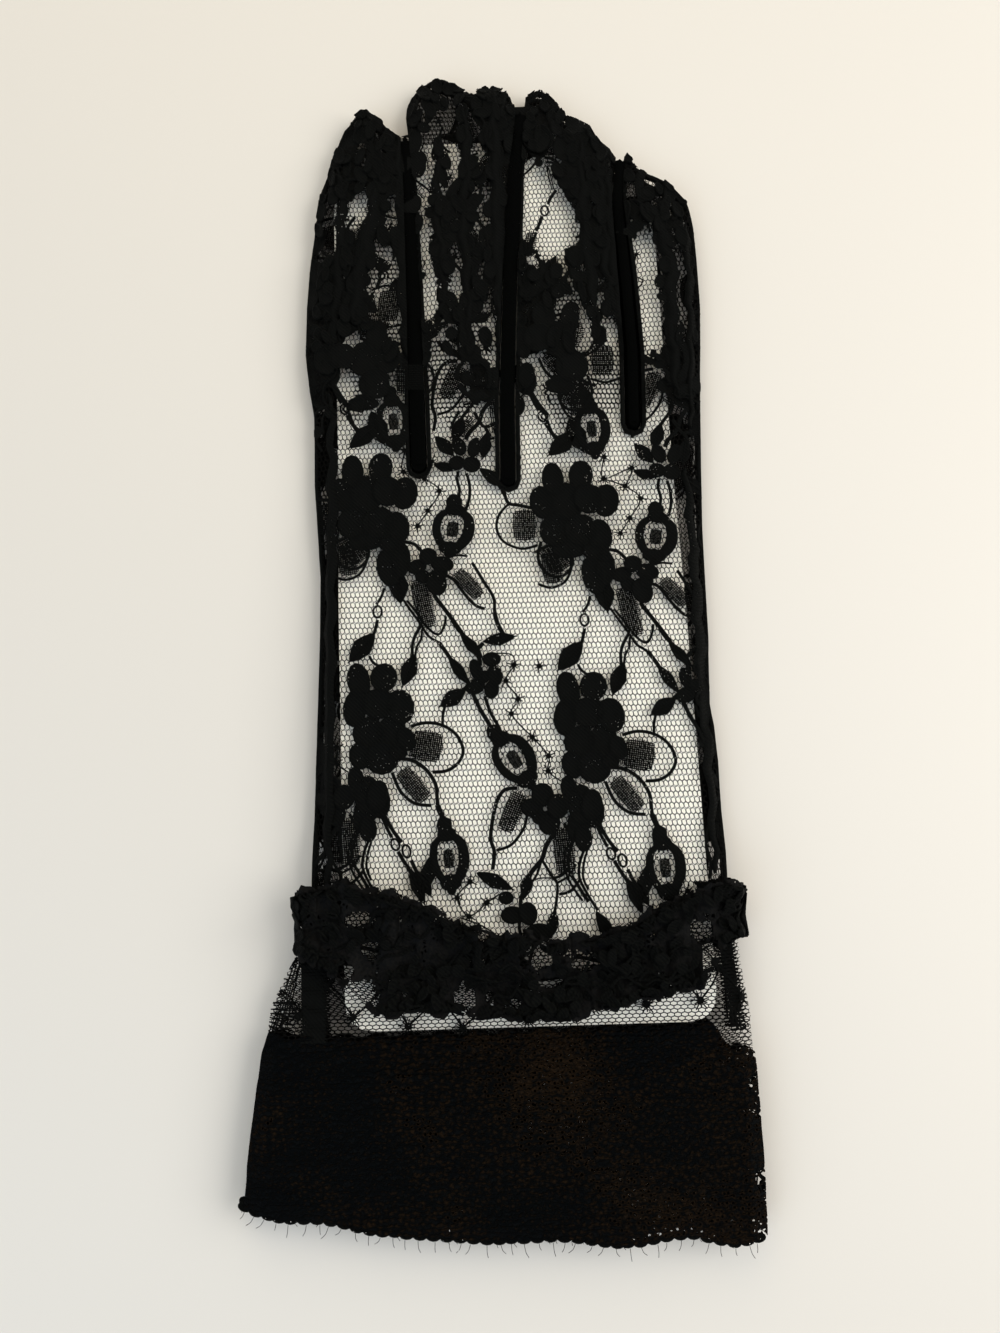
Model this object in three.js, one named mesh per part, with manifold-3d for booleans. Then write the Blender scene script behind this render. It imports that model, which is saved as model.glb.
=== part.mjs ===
// Lace evening glove lying flat, fingers towards +Y, with the insert card that holds its shape.
// Millimetres, +Z up, the floor at z = 0, the origin at the middle of the footprint.

import * as THREE from 'three';
import { mergeVertices } from 'three/addons/utils/BufferGeometryUtils.js';
import Module from 'manifold-3d';

const wasm = await Module();
wasm.setup();

// Driving sizes
const WALL = 1.1;
const GAP = 0.3;
const CARD_THICK = 0.7;
const EDGE_MEET = 0.4;
const SEAM_MEET = CARD_THICK + 2 * GAP;

// What lies under the palm: the folded thumb in the middle, the frill's lower half at the wrist
const THUMB_HIGH = 2 * WALL + GAP;
const WRIST_LIFT = THUMB_HIGH + GAP;
const CARD_LOW = WRIST_LIFT + WALL + GAP;
const BACK_LOW = CARD_LOW + CARD_THICK + GAP;
const BACK_TOP = BACK_LOW + WALL;
const FINGER_PUFF = 2.0;
const EDGE_RISE = 3.2;

// The hand's two long edges, from the wrist to the fingertips
const HAND_LEFT = [
  { y: -78, x: -39.6 },
  { y: -52, x: -39.4 },
  { y: -21, x: -38.6 },
  { y: 7, x: -38.2 },
  { y: 29, x: -39.6 },
  { y: 46, x: -39.8 },
  { y: 62, x: -41.9 },
  { y: 85, x: -40.8 },
  { y: 104, x: -38.4 },
];
const HAND_RIGHT = [
  { y: -78, x: 49.4 },
  { y: -38, x: 50.0 },
  { y: -25, x: 48.8 },
  { y: -10, x: 49.6 },
  { y: 16, x: 50.0 },
  { y: 46, x: 51.4 },
  { y: 71, x: 53.0 },
  { y: 92, x: 52.7 },
];

// The seams between the fingers, from each fingertip down to the crotch
const SEAMS = [
  {
    name: 'seam_index_middle',
    rows: [
      { y: 119, x: -17.4, width: 1.4 },
      { y: 104, x: -16.6, width: 1.8 },
      { y: 72, x: -15.8, width: 2.6 },
      { y: 50, x: -15.4, width: 3.4 },
      { y: 33, x: -15.2, width: 3.5 },
    ],
  },
  {
    name: 'seam_middle_ring',
    rows: [
      { y: 125, x: 11.4, width: 1.4 },
      { y: 108, x: 9.6, width: 2.2 },
      { y: 80, x: 7.6, width: 3.2 },
      { y: 50, x: 5.9, width: 3.5 },
      { y: 29, x: 5.5, width: 3.5 },
    ],
  },
  {
    name: 'seam_ring_little',
    rows: [
      { y: 111, x: 35.6, width: 1.4 },
      { y: 100, x: 34.4, width: 2.2 },
      { y: 80, x: 35.4, width: 3.2 },
      { y: 60, x: 36.0, width: 3.5 },
      { y: 42, x: 35.4, width: 3.5 },
    ],
  },
];

// The crumpled fingertips, each as the outline's turning points from left to right
const FINGERTIPS = [
  {
    name: 'index',
    points: [[-36.4, 110], [-35.2, 115], [-32.4, 121], [-27.8, 126.4], [-24, 123.8], [-19.6, 119.4]],
  },
  {
    name: 'middle',
    points: [[-17, 124], [-16.4, 129], [-13.6, 133], [-8.5, 134.8], [-3.6, 132.6], [-0.4, 130.4], [2.6, 132.6],
      [6.2, 132.2], [9.2, 129.8]],
  },
  {
    name: 'ring',
    points: [[13, 129.6], [16.2, 131], [19.6, 129], [22.6, 123.4], [25.6, 122.4], [28.4, 120.2], [30.6, 116],
      [33.2, 114.2]],
  },
  {
    name: 'little',
    points: [[37.4, 112.2], [42, 106.6], [46.4, 104], [50.2, 100.4], [52, 96.6]],
  },
];

// The line where the hand is gathered into the cuff
const GATHER = [
  { x: -43, y: -76.5 },
  { x: -20, y: -82 },
  { x: 8, y: -84 },
  { x: 30, y: -81 },
  { x: 51, y: -75 },
];

// The thumb, folded flat under the palm, from its base to its tip
const THUMB = [
  { along: 0, half: 14, lean: 12 },
  { along: 14, half: 12.6, lean: 4 },
  { along: 30, half: 11, lean: 0 },
  { along: 46, half: 10, lean: 0 },
  { along: 53, half: 8.6, lean: 0 },
  { along: 57, half: 6, lean: 0 },
  { along: 59, half: 2.6, lean: 0 },
];
const THUMB_BASE = { x: -22, y: -34, turn: -66 };
const THUMB_HOLE = { half: 11, long: 5.5 };

// The cuff from the gather line to the hem: tight round the wrist, then lying open on the floor
const CUFF_ROWS = [
  { down: 0, left: -43.2, right: 51.4, low: WRIST_LIFT, high: BACK_TOP },
  { down: 0.1, left: -46.0, right: 51.8, low: WRIST_LIFT, high: BACK_TOP },
  { down: 0.2, left: -48.2, right: 52.6, low: WRIST_LIFT, high: BACK_TOP },
  { down: 0.3, left: -49.4, right: 53.1, low: 0.5, high: 6.9 },
  { down: 0.38, left: -50.2, right: 53.4, low: 0, high: 7.3 },
  { down: 0.52, left: -51.2, right: 53.6, low: 0, high: 7.4 },
  { down: 0.78, left: -52.9, right: 53.7, low: 0, high: 7.2 },
  { down: 1, left: -53.7, right: 53.3, low: 0, high: 7.0 },
];
const HEM = [
  { x: -53.7, y: -125.6 },
  { x: -46, y: -128 },
  { x: -35.6, y: -128.4 },
  { x: -27, y: -130.9 },
  { x: -2, y: -133.2 },
  { x: 11.4, y: -132.8 },
  { x: 24, y: -134.8 },
  { x: 36.5, y: -132.8 },
  { x: 45, y: -135 },
  { x: 53.7, y: -134 },
];

// The frill's upper and lower edges across the wrist
const FRILL_UPPER = [
  { x: -47, y: -65 },
  { x: -33.6, y: -62.6 },
  { x: -16, y: -67 },
  { x: -3, y: -74 },
  { x: 14, y: -75.6 },
  { x: 25, y: -74.4 },
  { x: 36, y: -68.6 },
  { x: 49, y: -64 },
  { x: 52.4, y: -65.4 },
];
const FRILL_LOWER = [
  { x: -41, y: -76.1 },
  { x: -33.7, y: -80.5 },
  { x: -27, y: -87.4 },
  { x: -10, y: -88.2 },
  { x: 14, y: -90.4 },
  { x: 24, y: -87.4 },
  { x: 42, y: -84.5 },
  { x: 48.6, y: -75.2 },
];
const FRILL = { left: -41, right: 50.2, low: WRIST_LIFT - GAP, high: BACK_TOP + GAP, pleats: 20 };
const FRILL_UNDER = { ripple: 0.8, flare: 0.5, scallop: 0.8 };
const FRILL_OVER = { ripple: 1.6, flare: 1.1, scallop: 1.4 };

// The card: straight sides, round corners, and slots for the seams between the fingers. It bends
// down from the hand, where the thumb lies under it, to the fingers.
const CARD = { width: 78.4, x: 6.66, y: -92.5, turn: 0.8, corner: 6.5, slotGap: 0.6 };
const CARD_TOPS = [
  { name: 'index', y: 107, corner: 7 },
  { name: 'middle', y: 118, corner: 5 },
  { name: 'ring', y: 114, corner: 5 },
  { name: 'little', y: 96, corner: 3 },
];
const CARD_BEND = { from: -2, to: 25 };
const CARD_ACROSS = [{ from: -40, to: 50, step: 90 }];
const CARD_ALONG = [
  { from: -96, to: -2, step: 94 },
  { from: -2, to: 25, step: 4.5 },
  { from: 25, to: 124, step: 99 },
];

// Where the sheets of lace are divided: finely where they turn down to a seam, else coarsely
const BACK_ACROSS = [
  { from: -42, to: -34, step: 2 },
  { from: -34, to: -20, step: 7 },
  { from: -20, to: -11, step: 1.8 },
  { from: -11, to: 3, step: 7 },
  { from: 3, to: 13, step: 2 },
  { from: 13, to: 32, step: 6.3 },
  { from: 32, to: 40, step: 2 },
  { from: 40, to: 46, step: 6 },
  { from: 46, to: 54, step: 2 },
];
const BACK_ALONG = [
  { from: -90, to: -62, step: 14 },
  { from: -62, to: -44, step: 4.5 },
  { from: -44, to: 22, step: 8.25 },
  { from: 22, to: 46, step: 3 },
  { from: 46, to: 110, step: 9.1 },
  { from: 110, to: 136, step: 3.7 },
];
const PALM_ACROSS = [{ from: -43, to: 54, step: 6 }];
const PALM_ALONG = [
  { from: -90, to: -62, step: 14 },
  { from: -62, to: -44, step: 4.5 },
  { from: -44, to: 28, step: 6 },
  { from: 28, to: 136, step: 27 },
];

const BLACK_LACE = { color: 0x0b0b0c, roughness: 0.85, metalness: 0 };
const CARD_STOCK = { color: 0xf1ebe0, roughness: 0.7, metalness: 0 };

// Reads a table at a place between its rows
function between(rows, at, key, value) {
  const up = rows[rows.length - 1][key] > rows[0][key];
  const sorted = up ? rows : [...rows].reverse();
  if (at <= sorted[0][key]) return sorted[0][value];
  for (let i = 1; i < sorted.length; i += 1) {
    const a = sorted[i - 1];
    const b = sorted[i];
    if (at <= b[key]) {
      return THREE.MathUtils.lerp(a[value], b[value], (at - a[key]) / (b[key] - a[key]));
    }
  }
  return sorted[sorted.length - 1][value];
}

const smooth = (t) => THREE.MathUtils.smoothstep(t, 0, 1);

// Turns every face round if a solid was made inside out
function outward(geometry) {
  const place = geometry.attributes.position;
  const corner = (i) => new THREE.Vector3().fromBufferAttribute(place, geometry.index.array[i]);
  const faces = geometry.index.array;
  let volume = 0;
  for (let i = 0; i < faces.length; i += 3) {
    volume += corner(i).dot(corner(i + 1).cross(corner(i + 2)));
  }
  if (volume < 0) geometry.setIndex([...faces].reverse());
  return geometry;
}

function mesh(name, geometry, finish) {
  geometry.computeVertexNormals();
  const made = new THREE.Mesh(geometry, new THREE.MeshStandardMaterial(finish));
  made.name = name;
  return made;
}

// A wall between an outer and an inner grid of points. Rows run along the piece, and the points of
// a row go once round it when the wall is a tube.
function wallGeometry(outer, inner, { tube, closedEnd = false }) {
  const rows = outer.length;
  const across = outer[0].length;
  const points = [...outer.flat(), ...inner.flat()];
  const at = (side, i, j) => side * rows * across + i * across + (j % across);
  const faces = [];
  const quad = (a, b, c, d) => faces.push(a, b, c, a, c, d);
  const columns = tube ? across : across - 1;
  for (let i = 0; i < rows - 1; i += 1) {
    for (let j = 0; j < columns; j += 1) {
      quad(at(0, i, j), at(0, i, j + 1), at(0, i + 1, j + 1), at(0, i + 1, j));
      quad(at(1, i, j), at(1, i + 1, j), at(1, i + 1, j + 1), at(1, i, j + 1));
    }
  }
  for (let j = 0; j < columns; j += 1) {
    quad(at(0, 0, j), at(1, 0, j), at(1, 0, j + 1), at(0, 0, j + 1));
    if (!closedEnd) {
      quad(at(0, rows - 1, j), at(0, rows - 1, j + 1), at(1, rows - 1, j + 1), at(1, rows - 1, j));
    }
  }
  if (closedEnd) {
    for (const side of [0, 1]) {
      const rim = (side ? inner : outer)[rows - 1];
      const middle = rim.reduce((sum, p) => sum.add(p), new THREE.Vector3()).divideScalar(across);
      points.push(middle);
      const hub = points.length - 1;
      for (let j = 0; j < across; j += 1) {
        const [a, b] = [at(side, rows - 1, j), at(side, rows - 1, j + 1)];
        faces.push(...(side ? [b, a, hub] : [a, b, hub]));
      }
    }
  }
  if (!tube) {
    for (let i = 0; i < rows - 1; i += 1) {
      quad(at(0, i, 0), at(0, i + 1, 0), at(1, i + 1, 0), at(1, i, 0));
      const end = across - 1;
      quad(at(0, i, end), at(1, i, end), at(1, i + 1, end), at(0, i + 1, end));
    }
  }
  const geometry = new THREE.BufferGeometry().setFromPoints(points);
  geometry.setIndex(faces);
  return geometry;
}

// A flattened ring across the XZ plane: flat runs above and below, with round ends
function flatRing(left, right, low, high, count) {
  const radius = (high - low) / 2;
  const run = right - left - 2 * radius;
  const around = 2 * run + 2 * Math.PI * radius;
  const middle = (low + high) / 2;
  return Array.from({ length: count }, (_, i) => {
    let s = (i / count) * around;
    if (s < run) return { x: left + radius + s, z: low, out: [0, -1] };
    s -= run;
    if (s < Math.PI * radius) {
      const a = s / radius - Math.PI / 2;
      return { x: right - radius + radius * Math.cos(a), z: middle + radius * Math.sin(a), out: [Math.cos(a), Math.sin(a)] };
    }
    s -= Math.PI * radius;
    if (s < run) return { x: right - radius - s, z: high, out: [0, 1] };
    const a = (s - run) / radius + Math.PI / 2;
    return { x: left + radius + radius * Math.cos(a), z: middle + radius * Math.sin(a), out: [Math.cos(a), Math.sin(a)] };
  });
}

// The glove's flat outline: up the left edge, over each fingertip and round each seam, down the right
function seamSide(seam, side) {
  return seam.rows.map(({ y, x, width }) => new THREE.Vector2(x + side * (width / 2 + GAP), y));
}

function crotch(seam) {
  const end = seam.rows[seam.rows.length - 1];
  const radius = end.width / 2 + GAP;
  return [-135, -90, -45].map((angle) => {
    const a = THREE.MathUtils.degToRad(angle);
    return new THREE.Vector2(end.x + radius * Math.cos(a), end.y + radius * Math.sin(a));
  });
}

function gloveOutline() {
  const gatherAt = (x) => between(GATHER, x, 'x', 'y') + GAP;
  const side = (rows) => rows.map(({ x, y }, i) => new THREE.Vector2(x, i ? y : gatherAt(x)));
  const outline = new THREE.SplineCurve(side(HAND_LEFT)).getPoints(16);
  FINGERTIPS.forEach((tip, i) => {
    const curve = new THREE.SplineCurve(tip.points.map(([x, y]) => new THREE.Vector2(x, y)));
    outline.push(...curve.getPoints(tip.points.length * 2));
    if (i < SEAMS.length) {
      outline.push(...seamSide(SEAMS[i], -1), ...crotch(SEAMS[i]), ...seamSide(SEAMS[i], 1).reverse());
    }
  });
  outline.push(...new THREE.SplineCurve(side(HAND_RIGHT).reverse()).getPoints(14));
  const wristStart = outline.length - 1;
  for (let i = 1; i < 10; i += 1) {
    const x = THREE.MathUtils.lerp(HAND_RIGHT[0].x, HAND_LEFT[0].x, i / 10);
    outline.push(new THREE.Vector2(x, gatherAt(x)));
  }
  return { outline, wristStart };
}

const { outline: OUTLINE, wristStart: WRIST_START } = gloveOutline();

// How far a place is from a line of points
function fromLine(line, x, y) {
  let least = Infinity;
  for (let i = 0; i < line.length - 1; i += 1) {
    const a = line[i];
    const b = line[i + 1];
    const [dx, dy] = [b.x - a.x, b.y - a.y];
    const t = THREE.MathUtils.clamp(((x - a.x) * dx + (y - a.y) * dy) / (dx * dx + dy * dy), 0, 1);
    least = Math.min(least, Math.hypot(x - a.x - t * dx, y - a.y - t * dy));
  }
  return least;
}

// The sewn edge, which runs all round but for the open wrist, and the part of it at the seams
const SEWN = OUTLINE.slice(0, WRIST_START + 1);
const SLITS = SEAMS.map((seam) => [...seamSide(seam, -1), ...crotch(seam), ...seamSide(seam, 1).reverse()]);
const fromSeam = (x, y) => Math.min(...SLITS.map((slit) => fromLine(slit, x, y)));

// Places along and across the thumb, from a place in the row frame
function thumbPlace(x, y) {
  const turn = THREE.MathUtils.degToRad(-THUMB_BASE.turn);
  const [dx, dy] = [x - THUMB_BASE.x, y - THUMB_BASE.y];
  return {
    along: dx * Math.sin(turn) + dy * Math.cos(turn),
    across: dx * Math.cos(turn) - dy * Math.sin(turn),
  };
}

// The palm's underside: on the floor, but lifted over the thumb and at the wrist
function palmLow(x, y) {
  const { along, across } = thumbPlace(x, y);
  const long = THUMB[THUMB.length - 1].along;
  const past = Math.max(-along, along - long, 0);
  const beside = Math.max(Math.abs(across) - between(THUMB, along, 'along', 'half') - 1, 0);
  const overThumb = 1 - smooth((Math.hypot(past, beside) - 1.5) / 9);
  const atWrist = smooth((-46 - y) / 14);
  return WRIST_LIFT * Math.max(overThumb, atWrist);
}

const inFingers = (y) => smooth((y - CARD_BEND.from) / (CARD_BEND.to - CARD_BEND.from));
const cardLow = (x, y) => CARD_LOW - WRIST_LIFT * inFingers(y);

// The back's underside: near the palm at the sewn edge, with room for the card beside the seams
// between the fingers, and standing over the card
function backLow(x, y) {
  const palmTop = palmLow(x, y) + WALL;
  const edge = fromLine(SEWN, x, y);
  const slit = fromSeam(x, y);
  const meet = palmTop + THREE.MathUtils.lerp(SEAM_MEET, EDGE_MEET, smooth((slit - edge) / EDGE_RISE));
  const top = THREE.MathUtils.lerp(BACK_LOW, palmTop + EDGE_MEET + FINGER_PUFF, inFingers(y));
  return THREE.MathUtils.lerp(meet, top, smooth(edge / EDGE_RISE));
}

function asSolid(geometry) {
  geometry.deleteAttribute('normal');
  geometry.deleteAttribute('uv');
  const merged = mergeVertices(geometry, 1e-4);
  return new wasm.Manifold(new wasm.Mesh({
    numProp: 3,
    vertProperties: Float32Array.from(merged.attributes.position.array),
    triVerts: Uint32Array.from(merged.index.array),
  }));
}

function asGeometry(solid) {
  const cut = solid.getMesh();
  const geometry = new THREE.BufferGeometry();
  geometry.setAttribute('position', new THREE.BufferAttribute(new Float32Array(cut.vertProperties), 3));
  geometry.setIndex(new THREE.BufferAttribute(new Uint32Array(cut.triVerts), 1));
  return geometry;
}

function divided(ranges) {
  const places = [ranges[0].from];
  ranges.forEach(({ from, to, step }) => {
    const count = Math.round((to - from) / step);
    for (let i = 1; i <= count; i += 1) places.push(THREE.MathUtils.lerp(from, to, i / count));
  });
  return places;
}

// The hole in the palm that the thumb opens into
function thumbHole() {
  const shape = new THREE.Shape();
  shape.absellipse(0, 0, THUMB_HOLE.half, THUMB_HOLE.long, 0, 2 * Math.PI);
  const geometry = new THREE.ExtrudeGeometry(shape, { depth: 12, bevelEnabled: false, curveSegments: 10 });
  geometry.rotateZ(THREE.MathUtils.degToRad(THUMB_BASE.turn));
  geometry.translate(THUMB_BASE.x, THUMB_BASE.y, -3);
  return geometry;
}

// A sheet with a shaped underside, cut to an outline
function panelGeometry(low, { across, along, outline, hole, thick = WALL }) {
  const [xs, ys] = [divided(across), divided(along)];
  const surface = (lift) => ys.map((y) => xs.map((x) => new THREE.Vector3(x, y, low(x, y) + lift)));
  const sheet = outward(wallGeometry(surface(thick), surface(0), { tube: false }));
  const prism = new THREE.ExtrudeGeometry(new THREE.Shape(outline), { depth: 30, bevelEnabled: false });
  prism.translate(0, 0, -10);
  const panel = asSolid(sheet).intersect(asSolid(prism));
  return asGeometry(hole ? panel.subtract(asSolid(hole)) : panel);
}

function seamGeometry(seam) {
  const sides = 8;
  const end = seam.rows[seam.rows.length - 1];
  const rows = [...seam.rows, { ...end, y: end.y - end.width * 0.35, width: end.width * 0.6 }];
  const loops = rows.reverse().map(({ y, x, width }) => {
    const high = 2 * WALL + SEAM_MEET + 0.5;
    return Array.from({ length: sides }, (_, i) => {
      const a = (i / sides) * 2 * Math.PI;
      const z = palmLow(x, y) + high * (0.5 + 0.5 * Math.sin(a));
      return new THREE.Vector3(x + (width / 2) * Math.cos(a), y, z);
    });
  });
  return solidLoft(loops);
}

// A solid through a list of loops, with flat ends
function solidLoft(loops) {
  const points = loops.flat();
  const count = loops[0].length;
  const faces = [];
  for (let i = 0; i < loops.length - 1; i += 1) {
    for (let j = 0; j < count; j += 1) {
      const [a, b] = [i * count + j, i * count + ((j + 1) % count)];
      faces.push(a, a + count, b + count, a, b + count, b);
    }
  }
  [0, loops.length - 1].forEach((row, end) => {
    for (let j = 1; j < count - 1; j += 1) {
      const [a, b, c] = [row * count, row * count + j, row * count + j + 1];
      faces.push(...(end ? [a, c, b] : [a, b, c]));
    }
  });
  const geometry = new THREE.BufferGeometry().setFromPoints(points);
  geometry.setIndex(faces);
  return outward(geometry);
}

function thumbGeometry() {
  const loops = (inset) => THUMB.map(({ along, half, lean }, i) => {
    const last = i === THUMB.length - 1;
    const ring = flatRing(-half + inset, half - inset, inset, THUMB_HIGH - inset, 24);
    return ring.map(({ x, z }) => {
      const y = along + lean * (z / THUMB_HIGH - 0.5) - (last ? inset : 0);
      return new THREE.Vector3(x, y, z);
    });
  });
  const geometry = outward(wallGeometry(loops(0), loops(WALL), { tube: true, closedEnd: true }));
  geometry.rotateZ(THREE.MathUtils.degToRad(THUMB_BASE.turn));
  geometry.translate(THUMB_BASE.x, THUMB_BASE.y, 0);
  return geometry;
}

function cuffGeometry() {
  const count = 56;
  const loops = (inset) => CUFF_ROWS.map(({ down, left, right, low, high }) => {
    const ring = flatRing(left + inset, right - inset, low + inset, high - inset, count);
    return ring.map(({ x, z }) => {
      const top = between(GATHER, x, 'x', 'y') - GAP;
      const hem = between(HEM, x, 'x', 'y');
      return new THREE.Vector3(x, THREE.MathUtils.lerp(top, hem, down), z);
    });
  });
  return outward(wallGeometry(loops(0), loops(WALL), { tube: true }));
}

function frillGeometry() {
  const count = FRILL.pleats * 5;
  const rows = [
    { share: 0, flare: 1, ripple: 1 },
    { share: 0.3, flare: 0.5, ripple: 0.9 },
    { share: 0.62, flare: 0, ripple: 0.35 },
    { share: 1, flare: 0.7, ripple: 1 },
  ];
  const { left, right, low, high, pleats } = FRILL;
  const ring = flatRing(left, right, low, high, count);
  const loops = (thick) => rows.map(({ share, flare, ripple }) => {
    return ring.map(({ x, z, out }, i) => {
      const round = (i / count) * 2 * Math.PI;
      const uneven = 0.75 + 0.25 * Math.sin(7 * round);
      const wave = uneven * (0.5 - 0.5 * Math.cos(pleats * round));
      const full = out[1] < -0.5 ? FRILL_UNDER : FRILL_OVER;
      const push = full.flare * flare + full.ripple * ripple * wave + thick;
      const [px, pz] = [x + out[0] * push, z + out[1] * push];
      const flat = 1 - Math.abs(out[0]);
      const upper = between(FRILL_UPPER, px, 'x', 'y') + full.scallop * wave * flat;
      const lower = between(FRILL_LOWER, px, 'x', 'y') - full.scallop * wave * flat;
      return new THREE.Vector3(px, THREE.MathUtils.lerp(upper, lower, share), pz);
    });
  });
  return outward(wallGeometry(loops(WALL), loops(0), { tube: true }));
}

// The card's outline: up the left side, over each finger and round each slot, down the right
function cardOutline() {
  const lean = Math.tan(THREE.MathUtils.degToRad(CARD.turn));
  const side = (way, y) => CARD.x + way * (CARD.width / 2) - lean * (y - CARD.y);
  const slotSide = (seam, way) => (y) => {
    return between(seam.rows, y, 'y', 'x') + way * (between(seam.rows, y, 'y', 'width') / 2 + CARD.slotGap);
  };
  const shape = new THREE.Shape();
  shape.moveTo(side(-1, CARD.y) + CARD.corner, CARD.y);
  shape.quadraticCurveTo(side(-1, CARD.y), CARD.y, side(-1, CARD.y), CARD.y + CARD.corner);
  CARD_TOPS.forEach(({ y: top, corner }, i) => {
    const left = i ? slotSide(SEAMS[i - 1], 1) : (y) => side(-1, y);
    const right = i < SEAMS.length ? slotSide(SEAMS[i], -1) : (y) => side(1, y);
    shape.lineTo(left(top - corner), top - corner);
    shape.quadraticCurveTo(left(top), top, left(top) + corner, top);
    shape.lineTo(right(top) - corner, top);
    shape.quadraticCurveTo(right(top), top, right(top - corner), top - corner);
    if (i < SEAMS.length) {
      const rows = SEAMS[i].rows.filter(({ y }) => y < top - corner - 2);
      rows.forEach(({ y }) => shape.lineTo(right(y), y));
      const end = rows[rows.length - 1];
      const radius = end.width / 2 + CARD.slotGap;
      shape.absarc(end.x, end.y, radius, Math.PI, 2 * Math.PI);
      const back = rows.filter(({ y }) => y < CARD_TOPS[i + 1].y - CARD_TOPS[i + 1].corner - 2).reverse();
      back.slice(1).forEach(({ y }) => shape.lineTo(slotSide(SEAMS[i], 1)(y), y));
    }
  });
  shape.lineTo(side(1, CARD.y), CARD.y + CARD.corner);
  shape.quadraticCurveTo(side(1, CARD.y), CARD.y, side(1, CARD.y) - CARD.corner, CARD.y);
  const points = shape.extractPoints(4).shape;
  return points.filter((p, i) => p.distanceTo(points[(i + 1) % points.length]) > 0.01);
}

const glove = new THREE.Group();
const BACK = { across: BACK_ACROSS, along: BACK_ALONG, outline: OUTLINE };
const PALM = { across: PALM_ACROSS, along: PALM_ALONG, outline: OUTLINE, hole: thumbHole() };
const STIFFENER = { across: CARD_ACROSS, along: CARD_ALONG, outline: cardOutline(), thick: CARD_THICK };
glove.add(mesh('back_panel', panelGeometry(backLow, BACK), BLACK_LACE));
glove.add(mesh('palm_panel', panelGeometry(palmLow, PALM), BLACK_LACE));
SEAMS.forEach((seam) => glove.add(mesh(seam.name, seamGeometry(seam), BLACK_LACE)));
glove.add(mesh('thumb', thumbGeometry(), BLACK_LACE));
glove.add(mesh('frill', frillGeometry(), BLACK_LACE));
glove.add(mesh('cuff', cuffGeometry(), BLACK_LACE));
glove.add(mesh('insert_card', panelGeometry(cardLow, STIFFENER), CARD_STOCK));

const footprint = new THREE.Box3().setFromObject(glove);
glove.position.set(
  -(footprint.min.x + footprint.max.x) / 2,
  -(footprint.min.y + footprint.max.y) / 2,
  -footprint.min.z,
);

export default glove;
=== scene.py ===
import bmesh
import bpy
import math
import random
from mathutils import Matrix, Vector
from mathutils.bvhtree import BVHTree


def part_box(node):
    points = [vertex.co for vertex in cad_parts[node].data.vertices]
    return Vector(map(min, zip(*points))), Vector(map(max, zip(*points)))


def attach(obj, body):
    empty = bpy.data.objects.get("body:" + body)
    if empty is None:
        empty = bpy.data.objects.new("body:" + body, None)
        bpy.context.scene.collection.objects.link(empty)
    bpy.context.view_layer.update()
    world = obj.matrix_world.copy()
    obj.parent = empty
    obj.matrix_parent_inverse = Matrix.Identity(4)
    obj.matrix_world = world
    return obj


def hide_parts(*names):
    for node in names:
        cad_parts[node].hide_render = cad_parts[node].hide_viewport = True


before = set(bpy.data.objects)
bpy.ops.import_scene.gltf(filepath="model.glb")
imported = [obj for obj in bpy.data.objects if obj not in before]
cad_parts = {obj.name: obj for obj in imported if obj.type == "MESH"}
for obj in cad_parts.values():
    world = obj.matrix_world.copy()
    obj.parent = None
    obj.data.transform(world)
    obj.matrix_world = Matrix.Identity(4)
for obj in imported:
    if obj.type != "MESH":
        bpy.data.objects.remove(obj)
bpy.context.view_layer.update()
MM = 0.001

# Camera. The picture was taken by hand from above the cuff, leaning a little towards the fingers,
# with a wide lens close to the glove, so the cuff looks larger than the fingertips.
PICTURE_HIGH = 1333
FOCAL_PIXELS = 1030
SENSOR = 36
CAMERA_AT = Vector((2.2, -57.3, 231.1)) * MM
CAMERA_LEAN = math.radians(10.5)
CAMERA_TURN = math.radians(-1.73)

camera_data = bpy.data.cameras.new("camera")
camera_data.sensor_width = SENSOR
camera_data.lens = FOCAL_PIXELS / PICTURE_HIGH * SENSOR
camera_data.clip_start = 0.01
camera = bpy.data.objects.new("camera", camera_data)
aim = Matrix.Rotation(CAMERA_LEAN, 4, "X") @ Matrix.Rotation(CAMERA_TURN, 4, "Z")
camera.matrix_world = Matrix.Translation(CAMERA_AT) @ aim
bpy.context.scene.collection.objects.link(camera)
bpy.context.scene.camera = camera


# Floor and light. The glove lies on a pale warm table under soft light from a window, a ceiling
# lamp and a warm room, with no hard shadows; the floor is plain and is no part of the object.
FLOOR_SIZE = 4.0
FLOOR_DROP = 0.6 * MM
FLOOR_COLOUR = (0.58, 0.555, 0.51, 1)
SKY_COLOUR = (0.95, 0.97, 1.0, 1)
SKY_STRENGTH = 0.86
PICTURE_GAMMA = 0.88
LAMPS = [
    # name, colour, watts, size, place
    ("window", (0.55, 0.76, 1.0), 1.2, 0.5, (-0.42, -0.40, 0.42)),
    ("ceiling", (1.0, 0.97, 0.92), 5.0, 0.6, (0.60, 0.0, 0.5)),
    ("room", (1.0, 0.80, 0.45), 1.5, 0.6, (-0.1, 0.55, 0.5)),
]


class Value:
    """A number in a material, so that sums of them add their Math nodes."""

    def __init__(self, maker, socket):
        self.maker = maker
        self.socket = socket

    def with_other(self, operation, other, swapped=False):
        pair = (other, self) if swapped else (self, other)
        return self.maker.add("ShaderNodeMath", {"operation": operation}, pair)

    def __add__(self, other):
        return self.with_other("ADD", other)

    def __radd__(self, other):
        return self.with_other("ADD", other, True)

    def __rsub__(self, other):
        return self.with_other("SUBTRACT", other, True)

    def __mul__(self, other):
        return self.with_other("MULTIPLY", other)

    def __gt__(self, other):
        return self.with_other("GREATER_THAN", other)

    def __lt__(self, other):
        return self.with_other("LESS_THAN", other)


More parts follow.
